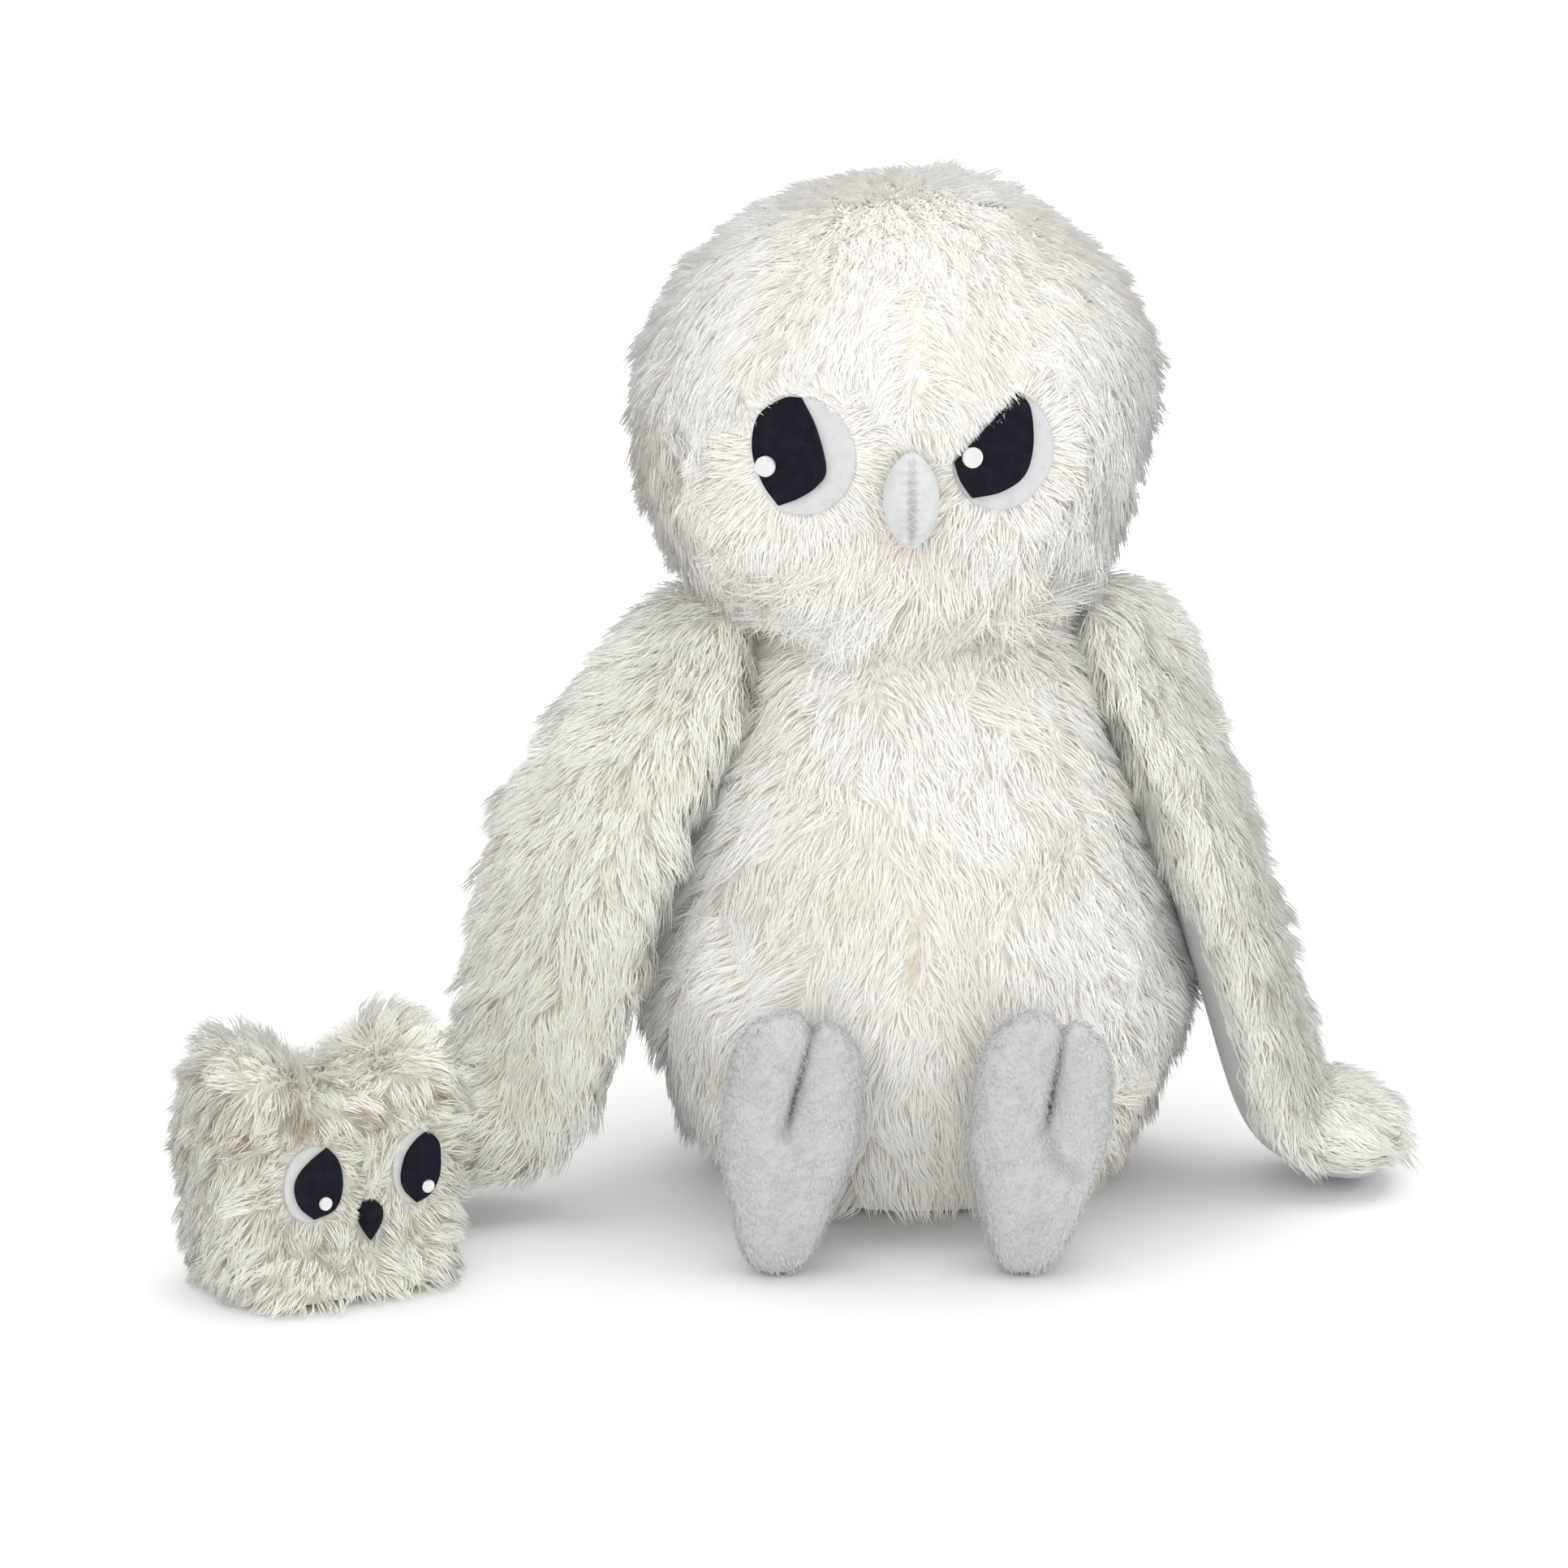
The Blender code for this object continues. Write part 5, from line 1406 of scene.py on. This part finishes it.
ear_root_height = 0.0555
baby_eye_spots = ((-baby_eye_spread, baby_eye_height), (baby_eye_spread, baby_eye_height))
baby_eye_size = np.array((baby_eye_half_width, baby_eye_half_height))
baby_disc_shares = (
    ((0.10, 1.0, 0), (-0.55, 0.86, 0), (-0.92, 0.40, 0), (-0.98, -0.20, 0), (-0.75, -0.72, 0),
     (-0.20, -1.0, 0), (0.45, -0.86, 0), (0.84, -0.36, 0), (0.88, 0.25, 0), (0.66, 0.74, 0)),
    ((0.22, 1.0, 0), (-0.45, 0.86, 0), (-0.82, 0.40, 0), (-0.88, -0.20, 0), (-0.66, -0.72, 0),
     (-0.20, -0.98, 0), (0.30, -0.82, 0), (0.60, -0.36, 0), (0.68, 0.25, 0), (0.60, 0.70, 0)))
baby_disc_outlines = [np.array(smooth_outline(shares)) * baby_eye_size for shares in baby_disc_shares]
# Painted shade between tangled tufts, strongest on the brow.
tangle_size, tangle_contrast, tangle_start = 0.0045, 3.0, 0.15
tangle_share, brow_tangle_share = 0.25, 0.75
baby_brow_height, baby_brow_reach = 0.050, 0.014
ear_side_ease, ear_side_start, ear_root_ease = 0.012, 0.4, 0.010
crown_rise, ear_rise_share, face_fall = 0.6, 0.9, 0.9
baby_side_reach, baby_side_comb = 0.02, 0.6
brush_strength, brush_width, brush_height = 0.027, 0.008, 0.010
baby_bare_facing, baby_bare_below = -0.5, 0.0015
disc_overlap, eye_pile_share, eye_pile_rise, eye_pile_ease = 0.0004, 0.34, 0.66, 0.005
beak_pile_share, beak_pile_rise, beak_pile_reach = 0.22, 0.78, 1.4
wisp_height, wisp_ease, wisp_size = 0.056, 0.006, 0.0035
wisp_contrast, wisp_limits = 1.6, (-0.45, 0.25)


def baby_tangle_shade(root, outward):
    """Painted shade in tangles between the tufts, most of all on the brow."""
    local = seen_from(baby_place, root)
    tangle_shade = np.array([noise.noise(Vector(p) / tangle_size) for p in root])
    tangle_shade = np.clip(tangle_shade * tangle_contrast - tangle_start, 0, 1)
    brow = np.clip(1 - np.abs(local[:, 2] - baby_brow_height) / baby_brow_reach, 0, 1)
    return tangle_shade * (tangle_share + brow_tangle_share * (brow * (local[:, 1] < 0)))


def baby_comb(root, outward):
    """Down from the brow and out to the sides, and up along the ears."""
    local = seen_from(baby_place, root)
    lie = np.zeros_like(root)
    ear = np.clip(np.abs(local[:, 0]) / ear_side_ease - ear_side_start, 0, 1)
    rise = crown_rise + ear_rise_share * ear
    lie[:, 2] = ramp(local[:, 2], ear_root_height, ear_root_ease) * rise - face_fall
    lie[:, 0] = both_ways(local[:, 0], baby_side_reach) * baby_side_comb
    partings = [(x, z, baby_eye_parting) for x, z in baby_eye_spots]
    partings.append((0, baby_beak_height, baby_beak_parting))
    for x, z, size in partings:
        off_x, off_z = local[:, 0] - x, local[:, 2] - z
        near = ramp(np.hypot(off_x, off_z), size, -parting_ease) * (local[:, 1] < 0)
        lie[:, 0] += near * off_x * brush_strength / size / brush_width
        lie[:, 2] += near * off_z * brush_strength / size / brush_height
    return lie @ np.array(baby_place.to_3x3()).T


def baby_trim(root, outward):
    """No pile under the baby or its eyes and beak, shorter pile round them, wisps on the ears."""
    local = seen_from(baby_place, root)
    share = np.ones(len(root))
    share[(outward[:, 2] < baby_bare_facing) | (local[:, 2] < baby_bare_below)] = 0
    front = local[:, 1] < 0
    for (x, z), outline in zip(baby_eye_spots, baby_disc_outlines):
        off_x, off_z = local[:, 0] - x, local[:, 2] - z
        off = np.hypot(off_x, off_z)
        edge = reach_of(outline, off_x, off_z)
        beside = eye_pile_share + eye_pile_rise * ramp(off - edge, 0, eye_pile_ease)
        local_share = np.where(off < edge - disc_overlap, 0, beside)
        share[front] = np.minimum(share, local_share)[front]
    off = oval_distance(local[:, 0], local[:, 2] - baby_beak_height, baby_beak_width, baby_beak_length)
    share[front & (off < 1.0)] = 0
    near = front & (off >= 1.0) & (off < 1.0 + beak_pile_reach)
    share[near] *= beak_pile_share + beak_pile_rise * (off[near] - 1.0) / beak_pile_reach
    ear = ramp(local[:, 2], wisp_height, wisp_ease)
    wisp = np.array([noise.noise(Vector(p) / wisp_size) for p in root])
    return share * (1 + ear * np.clip(wisp * wisp_contrast, *wisp_limits))


grow_pile(
    "baby_pile", baby_skin.data, "baby", baby_pile, strands=23000, length=0.0092,
    comb=baby_comb, trim=baby_trim, seed=31, lift=36, tuft=20, gather=0.45, swirl=0.95,
    swirl_size=0.008, width=0.00023, panels=2, crease_shade=baby_tangle_shade)

baby_front = Vector((math.sin(baby_turn), -math.cos(baby_turn), 0))
baby_pupils = {
    "left": (((0.42, 1.0, 1), (0.80, 0.66, 0), (0.98, 0.20, 0), (0.95, -0.35, 0), (0.60, -0.80, 0),
              (-0.25, -0.98, 1), (-0.78, -0.60, 0), (-1.0, -0.10, 0), (-0.84, 0.32, 0), (-0.28, 0.70, 0)),
             (0.12, 0.0), (0.78, 0.93), (0.30, -0.52)),
    "right": (((0.44, 1.0, 1), (0.90, 0.70, 0), (1.0, 0.25, 0), (0.90, -0.35, 0), (0.45, -0.80, 0),
               (-0.25, -1.0, 1), (-0.80, -0.62, 0), (-0.98, -0.20, 0), (-0.72, 0.40, 0), (-0.15, 0.80, 0)),
              (0.02, 0.0), (0.66, 0.93), (0.22, -0.52))}
white_top = baby_disc_thickness - baby_disc_sink
pupil_top = white_top + baby_pupil_thickness
for side, spot, disc_outline in zip(("left", "right"), baby_eye_spots, baby_disc_outlines):
    pupil_shares, shift, size, glint_share = baby_pupils[side]
    place = facing(baby_place @ Vector((spot[0], -baby_thickness / 2 - face_forward, spot[1])), baby_front)
    pupil_outline = [(np.array(p) * size + shift) * baby_eye_size for p in smooth_outline(pupil_shares)]
    glint_spot = Matrix.Translation(Vector((*(np.array(glint_share) * baby_eye_size), 0)))
    felt_eye(f"baby_eye_{side}", "baby", (
        (disc_outline, -0.0060, white_top, 0.0003, 0.0006, place),
        (pupil_outline, white_top - 0.0010, pupil_top, 0.0002, 0.0005, place),
        (round_outline(baby_glint_radius, 24), pupil_top - 0.0008, pupil_top + 0.0003, 0.00015, 0.0002,
         place @ glint_spot)))

baby_beak = almond(baby_beak_width, baby_beak_length, baby_beak_depth, 0.35, 0.0, 32, 0.45)
beak_spot = Vector((0, -baby_thickness / 2 - face_forward + 0.0018, baby_beak_height))
bmesh.ops.translate(baby_beak, verts=baby_beak.verts, vec=beak_spot)
bmesh.ops.transform(baby_beak, verts=baby_beak.verts, matrix=baby_place)
show("baby_beak_pad", mesh_of(baby_beak), night_felt, "baby", "baby_beak")

# Filling, threads and fastening patches
# The frame's own pieces of fibre, cotton, thread and tape are kept and take better materials.
# The rings of thread at the shoulders are sunk, because the pile hides them.
bag_cotton = nap_material("bag_cotton", (0.72, 0.69, 0.62), (0.58, 0.55, 0.49), 1800.0, 90.0, 0.0004)
cream_thread = nap_material("cream_thread", (0.82, 0.78, 0.70), (0.66, 0.62, 0.54), 3000.0, 400.0, 0.0002)
tape = nap_material("tape", (0.70, 0.71, 0.72), (0.50, 0.51, 0.52), 2400.0, 500.0, 0.0004)
kept_finishes = {
    "stuffing": fibre, "pellet_bag": bag_cotton, "closing_thread": cream_thread,
    "neck_thread": cream_thread, "_thread": thread_shade, "_patch": tape}
thread_sink = 0.0045
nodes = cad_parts
for side in ("left", "right"):
    ring = nodes[f"shoulder_{side}_thread"]
    sunk = ring.data.copy()
    sunk.transform(ring.matrix_world)
    middle = sum((v.co for v in sunk.vertices), Vector()) / len(sunk.vertices)
    inward = Vector((-middle.x, -middle.y, 0)).normalized()
    sunk.transform(Matrix.Translation(inward * thread_sink))
    show(f"shoulder_{side}_stitch", sunk, thread_shade, f"shoulder_{side}", ring.name)
for name, node in nodes.items():
    for ending, material in kept_finishes.items():
        if name.endswith(ending):
            node.data.materials.clear()
            node.data.materials.append(material)
            break

# Floor and light
# A plain white floor that keeps the owl's shadow, with soft light from above and both sides.
floor_size = 14.0
floor_material = bpy.data.materials.new("floor")
floor_material.use_nodes = True
tree = floor_material.node_tree
eye_ray = add_node(tree, "LightPath", {}).outputs["Is Camera Ray"]
reach = add_node(tree, "VectorMath", {0: own_place(tree)}, operation="LENGTH").outputs["Value"]
fade = spread(tree, reach, 0.25, 1.4, 0.9)
glow = add_node(tree, "Math", {0: eye_ray, 1: fade}, operation="MULTIPLY").outputs["Value"]
feed(tree, tree.nodes["Principled BSDF"], {
    "Base Color": (0.86, 0.86, 0.86), "Roughness": 1.0, "Specular IOR Level": 0.0,
    "Emission Color": (1, 1, 1), "Emission Strength": glow})
floor_form = bmesh.new()
bmesh.ops.create_grid(floor_form, x_segments=1, y_segments=1, size=floor_size / 2)
floor = placed("floor", mesh_of(floor_form))
floor.data.materials.append(floor_material)

world = bpy.data.worlds.new("studio")
bpy.context.scene.world = world
world.use_nodes = True
tree = world.node_tree
eye_ray = add_node(tree, "LightPath", {}).outputs["Is Camera Ray"]
level = add_node(tree, "MapRange", {"Value": eye_ray, "To Min": 0.86, "To Max": 1.0}).outputs["Result"]
feed(tree, tree.nodes["Background"], {"Color": (1, 1, 1), "Strength": level})

for name, spot, power, size in (
        ("key", (-0.9, -1.3, 1.3), 6.3, 1.2),
        ("fill", (1.3, -0.9, 0.9), 4.3, 1.2),
        ("low", (0.2, -1.7, 0.35), 6.2, 1.4),
        ("top", (0.0, 0.4, 1.8), 13.0, 1.2)):
    lamp = bpy.data.lights.new(name, "AREA")
    lamp.energy = power
    lamp.size = size
    light = placed(name, lamp)
    light.location = spot
    light.rotation_euler = (view_middle - Vector(spot)).to_track_quat("-Z", "Y").to_euler()

bpy.context.scene.view_settings.view_transform = "Standard"
